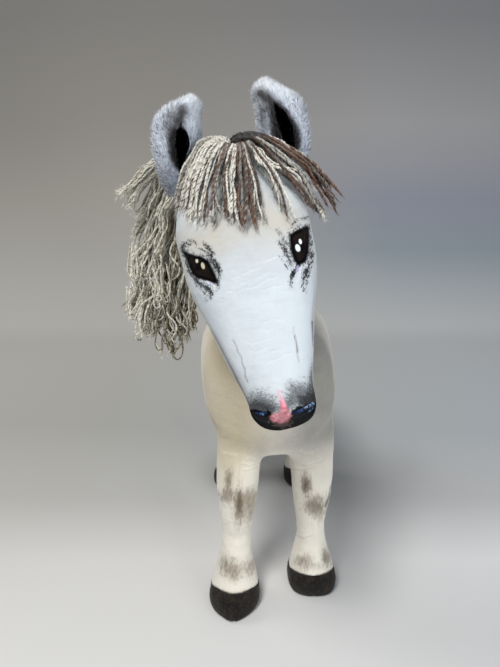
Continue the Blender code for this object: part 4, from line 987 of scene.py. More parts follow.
def paint_head(obj):
    """White, with painted eyes, lines and muzzle; painted light: bluish white on the front of the face and
    cream where it turns away, painted shade under the forelock and in the folds and wrinkles, painted
    highlights along the wrinkles and painted reflections by the nostrils. Returns where it is glossy, and
    where it is black.
    """
    p = coords(obj)
    px, py = to_pixels(p)
    n = normals(obj)
    seen = smooth(0.03, 0.20, np.sum(n * unit(EYE_POINT - p), axis=1))
    facing = smooth(-0.35, -0.05, n @ HEAD_OUT) * seen
    # Painted light: bluish white where the face looks forward, turning to the body's cream where it turns
    # away.
    colour = SNOW + (PAPER * 0.96 - SNOW) * smooth(0.30, -0.45, n @ HEAD_OUT)[:, None]
    gloss = np.zeros(len(p))
    grain = fractal(p, 0.0016, 50, 3) - 0.5
    coarse = fractal(p, 0.0042, 52, 3) - 0.5
    broad = fractal(p, 0.010, 55, 3) - 0.5

    def lay(mask, tone, strength):
        nonlocal colour
        mask = (np.clip(mask, 0, 1) * strength * facing)[:, None]
        colour = between(colour, np.asarray(tone), mask)

    def line(points, *sizes):
        return stroke(px, py, points, *sizes)

    def dab(*shape):
        return patch(px, py, *shape)

    def dry(soft, turn, tone, strength, seed, long, wide, cover, blur=0.13):
        """Paint dragged on with a dry brush."""
        lay(np.clip(soft, 0, 1) ** 2, tone, strength * 0.16)
        lay(flecks(px, py, soft, turn, 200 + seed, long, wide, cover, blur), tone, strength * 0.96)

    # Faint warm airbrushing over the brows and beside the seams, and painted shade under the forelock: the
    # broad warm and grey patches across the top of the face
    sand = srgb(198, 186, 162)
    for cx, cy, rx, ry, turn, strength in (
        (194, 240, 36, 30, -10, 0.55),
        (216, 250, 15, 26, 10, 0.30),
        (183, 272, 10, 34, -16, 0.45),
        (285, 222, 26, 18, -12, 0.42),
        (250, 222, 66, 40, -8, 0.62),
        (314, 250, 7, 34, 0, 0.30),
    ):
        lay(dab(cx, cy, rx, ry, turn) * (0.8 + broad), sand, strength)
    lay(dab(252, 252, 62, 34), srgb(186, 190, 194), 0.38)
    lay(line(CHEEK_SEAM, 1.8, 4.0, 3.4), DUST, 0.50)
    lay(line(CHEEK_SEAM[1:], 0.2, 1.3, 1.3) * (0.7 + grain), srgb(44, 36, 32), 0.9)
    lay(line([(318, 268), (315, 292), (312.6, 322)], 0.6, 1.2, 2.0), DUST, 0.5)
    lay(line([(312.2, 322), (313.2, 345)], 0.9, 0.6, 1.2), srgb(58, 46, 40), 0.85)
    lay(line([(313.6, 346), (315.4, 372)], 0.3, 0.8, 1.6), DUST, 0.7)
    lay(line([(315.6, 370), (314.8, 388), (314.6, 402)], 0.8, 3.0, 1.6), srgb(30, 27, 28), 0.95)
    # Painted shade in the folds of the cheeks, broken into streaks.
    for points, width, depth in (
        (CHEEK_FOLD, 0.8, 0.30),
        (CHEEK_FOLD, 0.1, 0.75),
        (FAR_FOLD, 0.2, 0.8),
        ([(294.6, 336), (296.2, 343), (297.4, 352)], 0.7, 0.85),
    ):
        fold_streaks = 0.55 + streaks(px, py, 70, 2.0, 1.0, 5) * 0.9
        lay(line(points, width * 0.4, width, 0.9) * fold_streaks, UMBER, depth)
    # Painted wrinkles: a line of painted shade, with a line of painted highlight just below it.
    for k, points in enumerate(WRINKLES):
        under = [(x + 0.3, y + 1.5) for x, y in points]
        broken = 0.35 + 0.9 * streaks(px, py, 0, 7.0, 3.0, 90 + k)
        lay(line(points, 0.5, 0.5, 1.3) * broken, SNOW * 0.80, 0.66)
        lay(line(under, 0.6, 0.6, 1.4) * broken, SNOW * 1.18, 0.66)
    # Shade above the nostrils, dragged upwards
    for k, (cx, cy, rx, ry, turn, flow, tone, strength, cover) in enumerate((
        (262, 403, 24, 17, 24, 150, INK, 0.72, 0.72),
        (259, 408, 16, 11, 30, 140, INK, 0.80, 0.80),
        (272, 409, 12, 10, 0, 120, INK, 0.70, 0.62),
        (302, 396, 21, 20, 20, 35, INK, 0.74, 0.80),
        (308, 403, 15, 13, 10, 30, INK, 0.92, 0.84),
        (292, 387, 11, 9, 35, 35, INK, 0.30, 0.44),
        (313, 384, 8, 28, 4, 80, INK, 0.80, 0.72),
        (288, 404, 9, 12, 0, 60, INK, 0.70, 0.55),
    )):
        soft = dab(cx, cy, rx, ry, turn)
        lay(soft**1.5, tone, strength * 0.56)
        dry(soft, flow, tone, strength * 0.8, k, 1.5, 0.6, cover, 0.30)
    # Muzzle, whose paint goes round the edge
    from_front, facing = facing, smooth(-0.60, -0.30, n @ HEAD_OUT)
    black = depth_inside(px, py, MUZZLE_EDGE) + coarse * 4.0 + grain * 3.0
    lay(smooth(-1.2, 1.0, black), INK, 0.98)
    inked = smooth(0.0, 1.2, black) * facing
    gloss = np.maximum(gloss, smooth(0.6, 2.4, black) * smooth(0.30, 0.60, n @ HEAD_OUT))
    dry(dab(281, 423, 17, 7), 10, srgb(104, 90, 84), 0.50, 31, 2.0, 1.0, 0.80)
    pink = depth_inside(px, py, PINK_EDGE) + coarse * 3.6 + grain * 3.0
    lay(smooth(-1.2, 1.6, pink), srgb(178, 112, 121), 0.95)
    lay(smooth(-0.5, 1.5, pink) * smooth(414, 406, py), srgb(194, 86, 106), 0.75)
    lay(smooth(0.3, 2.5, pink) * smooth(0.02, 0.25, grain), srgb(212, 168, 168), 0.6)
    lay(smooth(0.3, 2.5, pink) * smooth(-0.08, -0.28, grain), srgb(124, 66, 74), 0.6)
    upper = line([(278.5, 391), (281, 398), (284, 405)], 1.2, 2.2, 2.8)
    dry(upper, 75, srgb(240, 150, 172), 0.75, 33, 1.6, 0.8, 0.70, 0.3)
    lay(upper * (0.45 + coarse), srgb(240, 186, 200), 0.6)
    # Painted reflections: bluish glints on the glossy black by the nostrils.
    for k, (points, width, tone, strength) in enumerate((
        ([(297, 413), (302, 409.5), (308, 407), (313, 404.5)], 2.0, srgb(56, 82, 134), 0.75),
        ([(305, 407.5), (309, 406), (313, 403.5)], 1.3, srgb(168, 192, 218), 0.85),
        ([(309, 411.5), (313, 408)], 0.9, srgb(110, 138, 180), 0.7),
        ([(293, 414), (298, 410.5)], 1.0, srgb(34, 48, 96), 0.8),
        ([(256, 413), (260, 413.5), (265, 413)], 1.5, srgb(40, 62, 112), 0.75),
        ([(260, 413.8), (262.6, 414.2)], 0.8, srgb(120, 160, 210), 0.8),
    )):
        glint_breakup = fractal(p, 0.0011, 240 + k, 2)
        lay(line(points, width * 0.5, width, 1.2) * smooth(0.36, 0.60, glint_breakup), tone, strength)
    facing = from_front
    # Eyes
    for outline, centre, lean in ((LEFT_EYE, (201, 267), 40), (RIGHT_EYE, (300.5, 247), -8)):
        sign = 1 if centre[0] < MIDDLE_X else -1
        edge = depth_inside(px, py, rounded(outline))
        lay(smooth(-1.7, 0.0, edge + grain * 3.2), INK, 0.92)
        dry(smooth(-7.5, 0.5, edge), 60 if sign > 0 else 105, INK, 0.85, 60 + sign, 1.05, 0.55, 0.42, 0.20)
        lay(smooth(-0.5, 0.5, edge + grain * 0.8), INK, 1.0)
        iris = smooth(1.8, 4.0, edge) * (0.80 + coarse)
        lay(iris, srgb(34, 27, 24), 0.9)
        pupil = 1 - smooth(0.6, 1.05, ellipse(px, py, centre[0] - sign, centre[1] - 1, 4.4, 6.8, lean))
        lay(pupil, srgb(12, 10, 11), 0.8)
        gloss = np.maximum(gloss, smooth(-0.5, 0.8, edge) * facing)
    lashes = random.Random(5)
    for outline, count in ((LEFT_EYE, 16), (RIGHT_EYE, 18)):
        centre = np.mean(outline, axis=0)
        near = np.flatnonzero(np.hypot(px - centre[0], py - centre[1]) < 44)
        qx, qy = px[near], py[near]
        for _ in range(count):
            k = lashes.randrange(len(outline))
            t = lashes.random()
            a, b = np.array(outline[k]), np.array(outline[(k + 1) % len(outline)])
            start = a + (b - a) * t
            away = (start - centre) / max(np.linalg.norm(start - centre), 1)
            away = away + np.array([lashes.gauss(0, 0.25), lashes.gauss(0.25, 0.25)])
            reach = lashes.uniform(1.2, 3.2)
            mask = np.zeros(len(px))
            begin, end = start + away * lashes.uniform(-0.5, 1.0), start + away * reach
            mask[near] = stroke(qx, qy, [tuple(begin), tuple(end)], lashes.uniform(0.2, 0.5), 0.1, 0.6)
            lay(mask * (0.75 + grain * 1.2), INK, lashes.uniform(0.35, 0.8))
    for k, (points, width, end_width, flow, tone, cover) in enumerate(EYE_MARKS):
        soft = line(points, width * 0.8, end_width * 0.8, max(width, end_width) * 1.5)
        dry(soft, flow, tone, 0.95, 300 + k, 1.05, 0.55, cover - 0.02, 0.20)
    lilac, pearl = srgb(176, 160, 204), srgb(232, 232, 238)
    lay(line([(206.5, 281.8), (211, 283.4), (214.5, 286)], 1.0, 1.0, 0.8), pearl, 0.95)
    lay(line([(210, 282.6), (213.5, 284.4)], 0.7, 0.5, 0.6), lilac, 0.85)
    lay(line([(297.6, 266.5), (296.4, 271.6)], 1.1, 0.8, 0.7), lilac, 0.9)
    lay(line([(300.5, 268), (299, 276), (297, 282)], 1.2, 0.8, 1.0), pearl, 0.35)
    for cx, cy, rx, ry, turn, tone in (
        (196.9, 261.0, 1.7, 2.3, -10, srgb(206, 202, 186)),
        (202.9, 265.8, 2.2, 3.9, -16, srgb(198, 188, 166)),
        (300.3, 241.6, 1.9, 3.1, -12, srgb(236, 246, 252)),
        (297.8, 248.0, 3.0, 4.4, -18, srgb(226, 240, 248)),
    ):
        spot = ellipse(px, py, cx, cy, rx * 0.84, ry * 0.90, turn)
        lay(1 - smooth(0.80, 1.10, spot), tone, 1.0)
        gloss = np.maximum(gloss, 1 - smooth(0.8, 1.1, spot))
    paint(obj, colour)
    return gloss, inked


head_gloss, head_black = paint_head(head)
finish_piece(head, plush_material("head_plush_look", 0.40, 0.05, 0.10))
head.data.materials.append(gloss_material("glossy_paint"))
head.data.materials.append(plush_material("matte_paint", 0.40, 0.0, 0.10, specular=0.0))
for face in head.data.polygons:
    corners = list(face.vertices)
    if np.mean(head_gloss[corners]) > 0.5:
        face.material_index = 1
    elif np.mean(head_black[corners]) > 0.5:
        face.material_index = 2
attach(head, "head")
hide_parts("head_cover", "head_stuffing", "head_wire")


# Ears

EARS = {
    # rows from the tip down: height in the picture, the left and right edges, the opening's edges
    "right": (
        (99.5, 188, 193.5, 190.0, 190.2),
        (102, 184, 196.5, 189.6, 189.8),
        (105, 178.5, 198, 188.4, 188.6),
        (109.5, 171, 198, 186, 186.2),
        (115, 163.5, 197, 183, 183.2),
        (121, 159, 196.5, 180.0, 180.2),
        (128, 157, 197.5, 178.0, 179.6),
        (137, 156.5, 198, 175.0, 183.4),
        (149, 157, 198.5, 174.4, 184.6),
        (161, 158.5, 197, 176.0, 181.8),
        (173, 161, 194.5, 177.4, 179.4),
        (186, 166, 190.5, 177.6, 178.8),
        (197, 171.5, 185.5, 178, 179),
    ),
    "left": (
        (82.5, 263, 268, 264.8, 265.0),
        (86, 257.5, 273, 266, 266.2),
        (90, 254.8, 279.5, 267.4, 267.6),
        (95, 254.6, 287.5, 269.4, 269.8),
        (100.5, 256, 296, 271.4, 271.6),
        (107.5, 257, 301.5, 273.6, 274.0),
        (115.5, 257.8, 304, 275.4, 282.0),
        (125, 258.5, 306, 277.0, 288.6),
        (136, 260, 307.5, 280, 292.6),
        (147, 263.5, 307.5, 283.5, 294),
        (157, 268, 306.5, 285, 295),
        (167, 274.5, 303, 287.5, 294),
        (177, 282, 298.5, 289.5, 293),
    ),
}
HOLLOWS = {
    # the black of the opening, the painted shade that runs up from it, and a fainter brown patch of painted
    # shade beside it
    "right": (
        [(178, 131), (183, 132), (186, 139), (186.4, 150), (184, 160)]
        + [(180.5, 168), (176, 161), (173, 150), (172, 140), (174.6, 133)],
        [(181, 113), (179, 121), (178.4, 131)],
        (171, 124, 10, 17, 20),
    ),
    "left": (
        [(274, 106), (280, 109), (286.5, 116), (291.5, 124), (295, 133), (296.5, 143)]
        + [(293.5, 150), (286, 150), (280, 143), (276, 132), (274, 118)],
        [(262, 97), (268, 101), (276, 108)],
        (262, 116, 9, 26, 0),
    ),
}
EAR_TURN = {"left": (1, 1.0), "right": (-1, -17.0)}  # side and lean in degrees
EAR_DEPTH, EAR_WALL = 0.0165, 0.0030
EAR_ROWS, EAR_COLUMNS = 80, 56
EAR_HAIRS, EAR_HAIR_WIDTH = {"outer": 26000, "lining": 7000}, 0.00032
FROSTED = {"right": (0.40, 0.14), "left": (0.60, 0.26)}  # from no frost to most, as shares of the leaf


def ear_frame(side, lean_deg):
    """The root of an ear and the way its hollow faces."""
    along, across, out = (Vector(v) for v in (HEAD_ALONG, HEAD_ACROSS, HEAD_OUT))
    pitch = Matrix.Rotation(math.radians(26.0), 3, across)
    lean = Matrix.Rotation(math.radians(-side * lean_deg), 3, out) @ pitch
    length = lean @ -along
    swivel = Matrix.Rotation(math.radians(side * 12.0), 3, length) @ lean
    root = Vector(POLL) + across * side * 0.0415 - out * 0.027 + along * 0.014
    return np.array(root), np.array(swivel @ out)


def on_plane(px, py, point, normal):
    """The place on this plane that stands here in the picture."""
    ray = picture_ray(px, py)
    return EYE_POINT + ray * ((point - EYE_POINT) @ normal) / (ray @ normal)


def ear_sheet(word):
    """The leaf as a grid from its tip to its root, and each point's angle from the fold."""
    root, front = ear_frame(*EAR_TURN[word])
    table = np.array(EARS[word], float)
    places = between(table[0, 0], table[-1, 0], np.linspace(0, 1, EAR_ROWS) ** 1.35)
    grid, angles = [], []
    for height, (left, right, *opening) in zip(places, curve_rows(table, places)):
        edge_a, edge_b = on_plane(left, height, root, front), on_plane(right, height, root, front)
        centre, half = (edge_a + edge_b) / 2, np.linalg.norm(edge_b - edge_a) / 2
        sideways = (edge_b - edge_a) / (2 * half)
        deep = min(EAR_DEPTH, half * 0.95)
        ahead = to_pixels(np.array([centre, centre + front * deep]))[0]
        aside = ahead[1] - ahead[0]
        middle, reach = (left + right) / 2, (right - left) / 2
        lips = [np.clip((edge - aside - middle) / reach, -0.9, 0.9) for edge in opening]
        first = math.pi - math.asin(-lips[0]) if lips[0] < 0 else math.pi + math.asin(lips[0])
        last = math.pi - math.asin(lips[1]) if lips[1] > 0 else math.pi + math.asin(-lips[1])
        angle = np.linspace(-first, last, EAR_COLUMNS)
        ring = centre + np.outer(np.sin(angle) * half, sideways)
        grid.append(ring - np.outer(np.cos(angle) * deep, front))
        angles.append(angle)
    return np.array(grid), np.array(angles)


def blades(name, roots, ways, lengths, width, colours, facing=None):
    """Fine tapered hairs, each one a bent pair of faces, as one piece."""
    count = len(roots)
    side = unit(np.cross(ways, RNG.normal(size=(count, 3))))
    if facing is not None:
        side *= np.where(np.sum(np.cross(side, ways) * facing, axis=1) < 0, -1, 1)[:, None]
    bend = RNG.normal(size=(count, 3)) * 0.16
    middle = roots + ways * (lengths * 0.55)[:, None] + bend * (lengths * 0.2)[:, None]
    tip = roots + (ways + bend) * lengths[:, None]
    half = side * width / 2
    verts = np.stack([roots - half, roots + half, middle - half * 0.8, middle + half * 0.8, tip], axis=1)
    base = np.arange(count)[:, None] * 5
    quads = np.concatenate([base, base + 1, base + 3, base + 2], axis=1)
    tips = np.concatenate([base + 2, base + 3, base + 4], axis=1)
    faces = [tuple(f) for f in quads] + [tuple(f) for f in tips]
    obj = new_object(name, verts.reshape(-1, 3), faces, smooth_shaded=False)
    shades = np.repeat(colours[:, None, :], 5, axis=1)
    # Each hair is a little darker at its root, as painted shade, and lighter at its tip.
    shades[:, :2] *= 0.94
    shades[:, 4] = shades[:, 4] * 1.25
    paint(obj, shades.reshape(-1, 3))
    if facing is not None:  # dense fur takes the light as the cloth under it does
        shading = unit(facing + ways * 0.20 + RNG.normal(size=(count, 3)) * 0.22)
        obj.data.shade_smooth()
        obj.data.normals_split_custom_set_from_vertices(np.repeat(shading, 5, axis=0).tolist())
    return obj


FROST, SLATE, PITCH_BLACK = srgb(240, 247, 255), srgb(228, 236, 255), srgb(7, 6, 7)
BROWN_SHADE = srgb(72, 60, 56)
fur_look = fur_material("ear_fur_look", 0.3)
skin_look = fur_material("ear_skin_look", 0.0)


def ear_shade(word, grid, angle, inner):
    """How black each place is: in the hollow, and fading out from it over the rims, with painted shade
    running up from it and beside it, and on the lining painted shade deep in the cup.
    """
    px, py = to_pixels(grid.reshape(-1, 3))
    hollow, shade, brown = HOLLOWS[word]
    uneven = (fractal(grid.reshape(-1, 3), 0.003, 5, 3) - 0.5) * 5.0
    dark = smooth(-6.5, -1.4, depth_inside(px, py, hollow) + uneven * 0.7)
    above = stroke(px, py, shade, 4.0, 6.0, 6.0) * (0.94 + uneven * 0.12)
    beside = patch(px, py, *brown) * (0.75 + uneven * 0.18)
    dark = np.maximum(dark, np.clip(np.maximum(above * 0.88, beside * 0.7), 0, 1)).reshape(angle.shape)
    if inner:
        low, high = min(y for _, y in hollow), max(y for _, y in hollow)
        inside = smooth(low - 5, low + 7, py) * smooth(high + 14, high + 2, py)
        # Painted shade deep in the cup of the lining, over the rows of the hollow.
        deep = (1 - smooth(1.6, 2.7, np.abs(angle))) * inside.reshape(angle.shape)
        return np.clip(dark + deep, 0, 1)
    return dark * smooth(1.6, 2.2, np.abs(angle))


def ear_faces():
    """The faces of a sheet and of its back, and the rim between the two."""
    rows, columns = EAR_ROWS, EAR_COLUMNS
    starts = [r * columns + c for r in range(rows - 1) for c in range(columns - 1)]
    sheet = [(a, a + 1, a + columns + 1, a + columns) for a in starts]
    count = rows * columns
    back = [tuple(i + count for i in f[::-1]) for f in sheet]
    loop = list(range(columns)) + [r * columns + columns - 1 for r in range(1, rows)]
    loop += [(rows - 1) * columns + c for c in range(columns - 2, -1, -1)]
    loop += [r * columns for r in range(rows - 2, 0, -1)]
    return sheet + back + [(j, i, i + count, j + count) for i, j in zip(loop, loop[1:] + loop[:1])]


def build_ear(word):
    grid, angle = ear_sheet(word)
    normal = unit(np.cross(np.gradient(grid, axis=0), np.gradient(grid, axis=1)) + 1e-12)
    if np.sum(normal * (grid - grid.mean(axis=1, keepdims=True))) < 0:
        normal = -normal
    taper = np.minimum(1, np.linspace(0, 1, EAR_ROWS)[:, None] * 9)
    inner = grid - normal * (EAR_WALL * (0.35 + 0.65 * taper))[:, :, None]
    for part, sheet, facing, material_slot in (
        ("outer", grid, normal, "grey_plush"),
        ("lining", inner, -normal, "ear_lining"),
    ):
        inside = part == "lining"
        dark = ear_shade(word, sheet, angle, inside)
        verts = sheet.reshape(-1, 3)
        thick = verts - (facing.reshape(-1, 3)) * EAR_WALL * 0.4
        skin = new_object(f"ear_{word}_{part}_skin", np.concatenate([verts, thick]), ear_faces())
        bm = bmesh.new()
        bm.from_mesh(skin.data)
        bmesh.ops.recalc_face_normals(bm, faces=bm.faces)
        bm.to_mesh(skin.data)
        bm.free()
        tone = between(SLATE * 0.80, PITCH_BLACK, dark.reshape(-1, 1))
        paint(skin, np.concatenate([tone, tone]))
        finish_piece(skin, skin_look)
        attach(skin, "head")
        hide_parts(f"ear_{word}_{part}")
        # Hair leans from the root towards the tip.
        hairs = EAR_HAIRS[part]
        at = RNG.random((hairs, 2)) * [EAR_ROWS - 1.001, EAR_COLUMNS - 1.001]
        r, c = at[:, 0].astype(int), at[:, 1].astype(int)
        fr, fc = (at[:, 0] - r)[:, None], (at[:, 1] - c)[:, None]

        def spread(values):
            low = values[r, c] * (1 - fc) + values[r, c + 1] * fc
            high = values[r + 1, c] * (1 - fc) + values[r + 1, c + 1] * fc
            return low * (1 - fr) + high * fr

        up = unit(spread(facing))
        grow = -unit(spread(np.gradient(sheet, axis=0)))
        ways = unit(grow * 0.80 + up * 0.55 + RNG.normal(size=(hairs, 3)) * 0.32)
        blackness = spread(dark[:, :, None])[:, 0]
        down = at[:, 0] / EAR_ROWS
        top = smooth(*FROSTED[word], down)
        edge = np.abs(np.sin(spread(angle[:, :, None])[:, 0])) ** 6
        frost = RNG.normal(0.72, 0.70, hairs) + 0.95 * top + 0.35 * edge
        tones = SLATE * np.clip(1 + frost * 0.9, 0.30, 1)[:, None]
        tones = tones + (FROST - SLATE) * np.clip(frost, 0, 1)[:, None]
        tones = tones * (1 - 0.30 * smooth(0.60, 0.95, down))[:, None]
        # Hairs over the dark turn brown, then black: the hollow's black and its painted shade.
        fading = np.clip(blackness * 1.7, 0, 1)[:, None]
        tones = tones + (BROWN_SHADE - tones) * fading * 0.75
        black = np.clip(blackness + RNG.normal(0, 0.10, hairs), 0, 1) ** 0.9
        tones = between(tones, PITCH_BLACK, black[:, None])
        lengths = RNG.uniform(0.0018, 0.0033, hairs) * (0.8 if inside else 1.0) * (1 + 0.25 * top)
        fur = blades(f"ear_{word}_{part}_fur", spread(sheet), ways, lengths, EAR_HAIR_WIDTH, tones, up)
        finish_piece(fur, fur_look)
        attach(fur, "head")


for word in EARS:
    build_ear(word)


# Yarn


YARN_STEP, MANE_STEP, TAIL_STEP = 0.00062, 0.0011, 0.0013  # between the rings of a strand
FIBRES_ALONG, FIBRES_AT_END, FIBRE_LENGTH, FIBRE_WIDTH = 14, 10, 0.0040, 0.00016
CURL_FROM = 0.12  # the share of a strand that hangs straight


def run_along(path):
    """How far along the path each of its points is."""
    return np.concatenate([[0], np.cumsum(np.linalg.norm(np.diff(path, axis=0), axis=1))])


def smooth_path(points, step):
    """Evenly spaced points on one smooth curve through these."""
    points = np.asarray(points, float)
    padded = np.concatenate([2 * points[:1] - points[1:2], points, 2 * points[-1:] - points[-2:-1]])
    t = np.linspace(0, 1, 24, endpoint=False)[:, None]
    runs = []
    for k in range(len(points) - 1):
        a, b, c, d = padded[k : k + 4]
        second, third = 2 * a - 5 * b + 4 * c - d, 3 * b - a - 3 * c + d
        runs.append(0.5 * (2 * b + (c - a) * t + second * t**2 + third * t**3))
    fine = np.concatenate([*runs, points[-1:]])
    run = run_along(fine)
    where = np.linspace(0, run[-1], max(4, int(run[-1] / step)))
    return np.stack([np.interp(where, run, fine[:, k]) for k in range(3)], axis=1)


def wander(path, amount, size, shift):
    """Small bends, part shared with the strands beside it, growing from the root."""
    grow = smooth(0.05, 0.45, np.linspace(0, 1, len(path)))[:, None]
    own = np.stack([value_noise(path + shift, size, 60 + k) for k in range(3)], axis=1) - 0.5
    shared = np.stack([value_noise(path, size * 1.6, 70 + k) for k in range(3)], axis=1) - 0.5
    return path + (own + shared * 0.8) * 2 * amount * grow


def curl(path, reach, period, start):
    """Crimps a strand as yarn stays crimped that was wound up before."""
    run = run_along(path)
    grow = smooth(CURL_FROM, CURL_FROM + 0.35, run / run[-1]) * reach
    turn = run / period * math.tau + start + 1.6 * np.sin(run / 0.021 + start)
    along = unit(np.gradient(path, axis=0))
    aside = unit(np.cross(along, [0.0, 1.0, 0.0]))
    ahead = np.cross(along, aside)
    return path + aside * (grow * np.sin(turn))[:, None] + ahead * (grow * 0.55 * np.cos(turn))[:, None]


def strand(path, radius, tones, pitch, sides, start_turn, root_shade=0.0):
    """One two-ply strand: two lobes that turn about its middle, with a thread of another tone between."""
    count = len(path)
    along = unit(np.gradient(path, axis=0))
    across = np.empty_like(path)
    across[0] = unit(np.cross(along[0], [0.31, 0.52, 0.79]))
    for k in range(1, count):
        v = across[k - 1] - along[k] * (across[k - 1] @ along[k])
        across[k] = v / max(np.linalg.norm(v), 1e-9)
    up = np.cross(along, across)
    run = run_along(path)
    twist = start_turn + run / pitch * math.tau + 2.2 * (value_noise(path + start_turn, 0.008, 4) - 0.5)
    angle = np.linspace(0, math.tau, sides, endpoint=False)
    lobe = np.cos(angle[None, :] * 2)
    size = radius * (0.84 + 0.20 * lobe)
    ends = np.ones(count)
    ends[0] = 0.5
    ends[-5:] = (1.05, 1.0, 0.85, 0.6, 0.3)
    wave = 1 + 0.14 * np.sin(run / 0.0031 + start_turn * 3) + 0.10 * np.sin(run / 0.0012 + start_turn * 7)
    size = size * (ends * wave)[:, None]
    full = angle[None, :] + twist[:, None]
    ring = path[:, None, :] + (np.cos(full) * size)[..., None] * across[:, None, :]
    ring = ring + (np.sin(full) * size)[..., None] * up[:, None, :]
    main, thread = tones
    one = np.clip(np.cos(angle - math.pi / 2) * 2.2 - 1.0, 0, 1)[None, :, None]
    hold = 0.30 + 0.70 * smooth(0.30, 0.62, value_noise(path + start_turn * 0.7, 0.0050, 9))
    tone = main + (thread - main) * one * hold[:, None, None]
    # Painted shade between the plies.
    tone = tone * (0.84 + 0.16 * np.abs(np.cos(angle)))[None, :, None]  # darker between the plies
    tone = tone * (0.84 + 0.30 * value_noise(path + start_turn, 0.0060, 3))[:, None, None]
    # Painted shade over the strand's root end.
    if root_shade:
        fade = (1 - smooth(0.35 * root_shade, root_shade, run))[:, None, None]
        tone = tone * (1 - fade * 0.72)
    verts = ring.reshape(-1, 3)
    k = np.arange(count - 1)[:, None] * sides
    j = np.arange(sides)[None, :]
    after = (j + 1) % sides
    quads = np.stack([k + j, k + after, k + sides + after, k + sides + j], axis=-1).reshape(-1, 4)
    return verts, quads, tone.reshape(-1, 3), path


def fuzz(strands):
    """Loose fibres that stand off the strands, more of them at the cut ends."""
    spots, ways, tones, long = [], [], [], []
    for verts, _, tone, path in strands:
        along = unit(np.gradient(path, axis=0))
        tone = tone.reshape(len(path), -1, 3)
        verts = verts.reshape(len(path), -1, 3)
        rows = list(RNG.integers(1, len(path) - 1, FIBRES_ALONG)) + [len(path) - 1] * FIBRES_AT_END
        for k, row in enumerate(rows):
            ring = verts[row]
            corner = RNG.integers(len(ring))
            away = unit(ring[corner] - path[row])
            onward, outward, reach = (1.0, 0.45, 1.0) if k >= FIBRES_ALONG else (0.9, 0.5, 0.8)
            ways.append(unit(along[row] * onward + away * outward + RNG.normal(size=3) * 0.25))
            spots.append(ring[corner] * 0.6 + path[row] * 0.4)
            tones.append(np.clip(tone[row, corner] * 1.15 + 0.03, 0, 1))
            long.append(FIBRE_LENGTH * RNG.uniform(0.5, 1.2) * reach)
    return np.array(spots), np.array(ways), np.array(long), FIBRE_WIDTH, np.array(tones)


def yarn_piece(name, strands, look, slot, body, *nodes):
    verts, quads, tones, _ = zip(*strands)
    starts = np.cumsum([0] + [len(v) for v in verts[:-1]])
    faces = np.concatenate([q + start for q, start in zip(quads, starts)])
    obj = new_object(name, np.concatenate(verts), faces)
    paint(obj, np.concatenate(tones))
    finish_piece(obj, look)
    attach(obj, body)
    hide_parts(*nodes)
    fibres = blades(name + "_fibres", *fuzz(strands))
    finish_piece(fibres, fur_look)
    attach(fibres, body)


forelock_look = yarn_material("forelock_yarn_look")
mane_look = yarn_material("mane_yarn_look")
draw = random.Random(21)

head_places = [Vector(v) for v in coords(head) - SHIFT]
head_tree = BVHTree.FromPolygons(head_places, [tuple(f.vertices) for f in head.data.polygons])


NEAREST, FARTHEST, CLOSE_ENOUGH = 0.22, 0.50, 0.0002  # from the camera, for a place on the head


def on_head(px, py, lift):
    """The place on this line of sight that stands this far off the head, or comes nearest to that."""
    ray = picture_ray(px, py)
    ray = ray / np.linalg.norm(ray)
    reach, best, found = NEAREST, 1e9, None
    for _ in range(40):
        point = EYE_POINT + ray * reach
        distance = head_tree.find_nearest(Vector(point))[3] - lift
        if abs(distance) < best:
            best, found = abs(distance), point
        if abs(distance) < CLOSE_ENOUGH or reach > FARTHEST:
            break
        reach += max(distance, 0.0004) if distance > 0 else distance
    return found


def between_runs(first, second, t):
    """A run of picture points between two others."""
    return [(between(a[0], b[0], t), between(a[1], b[1], t)) for a, b in zip(first, second)]


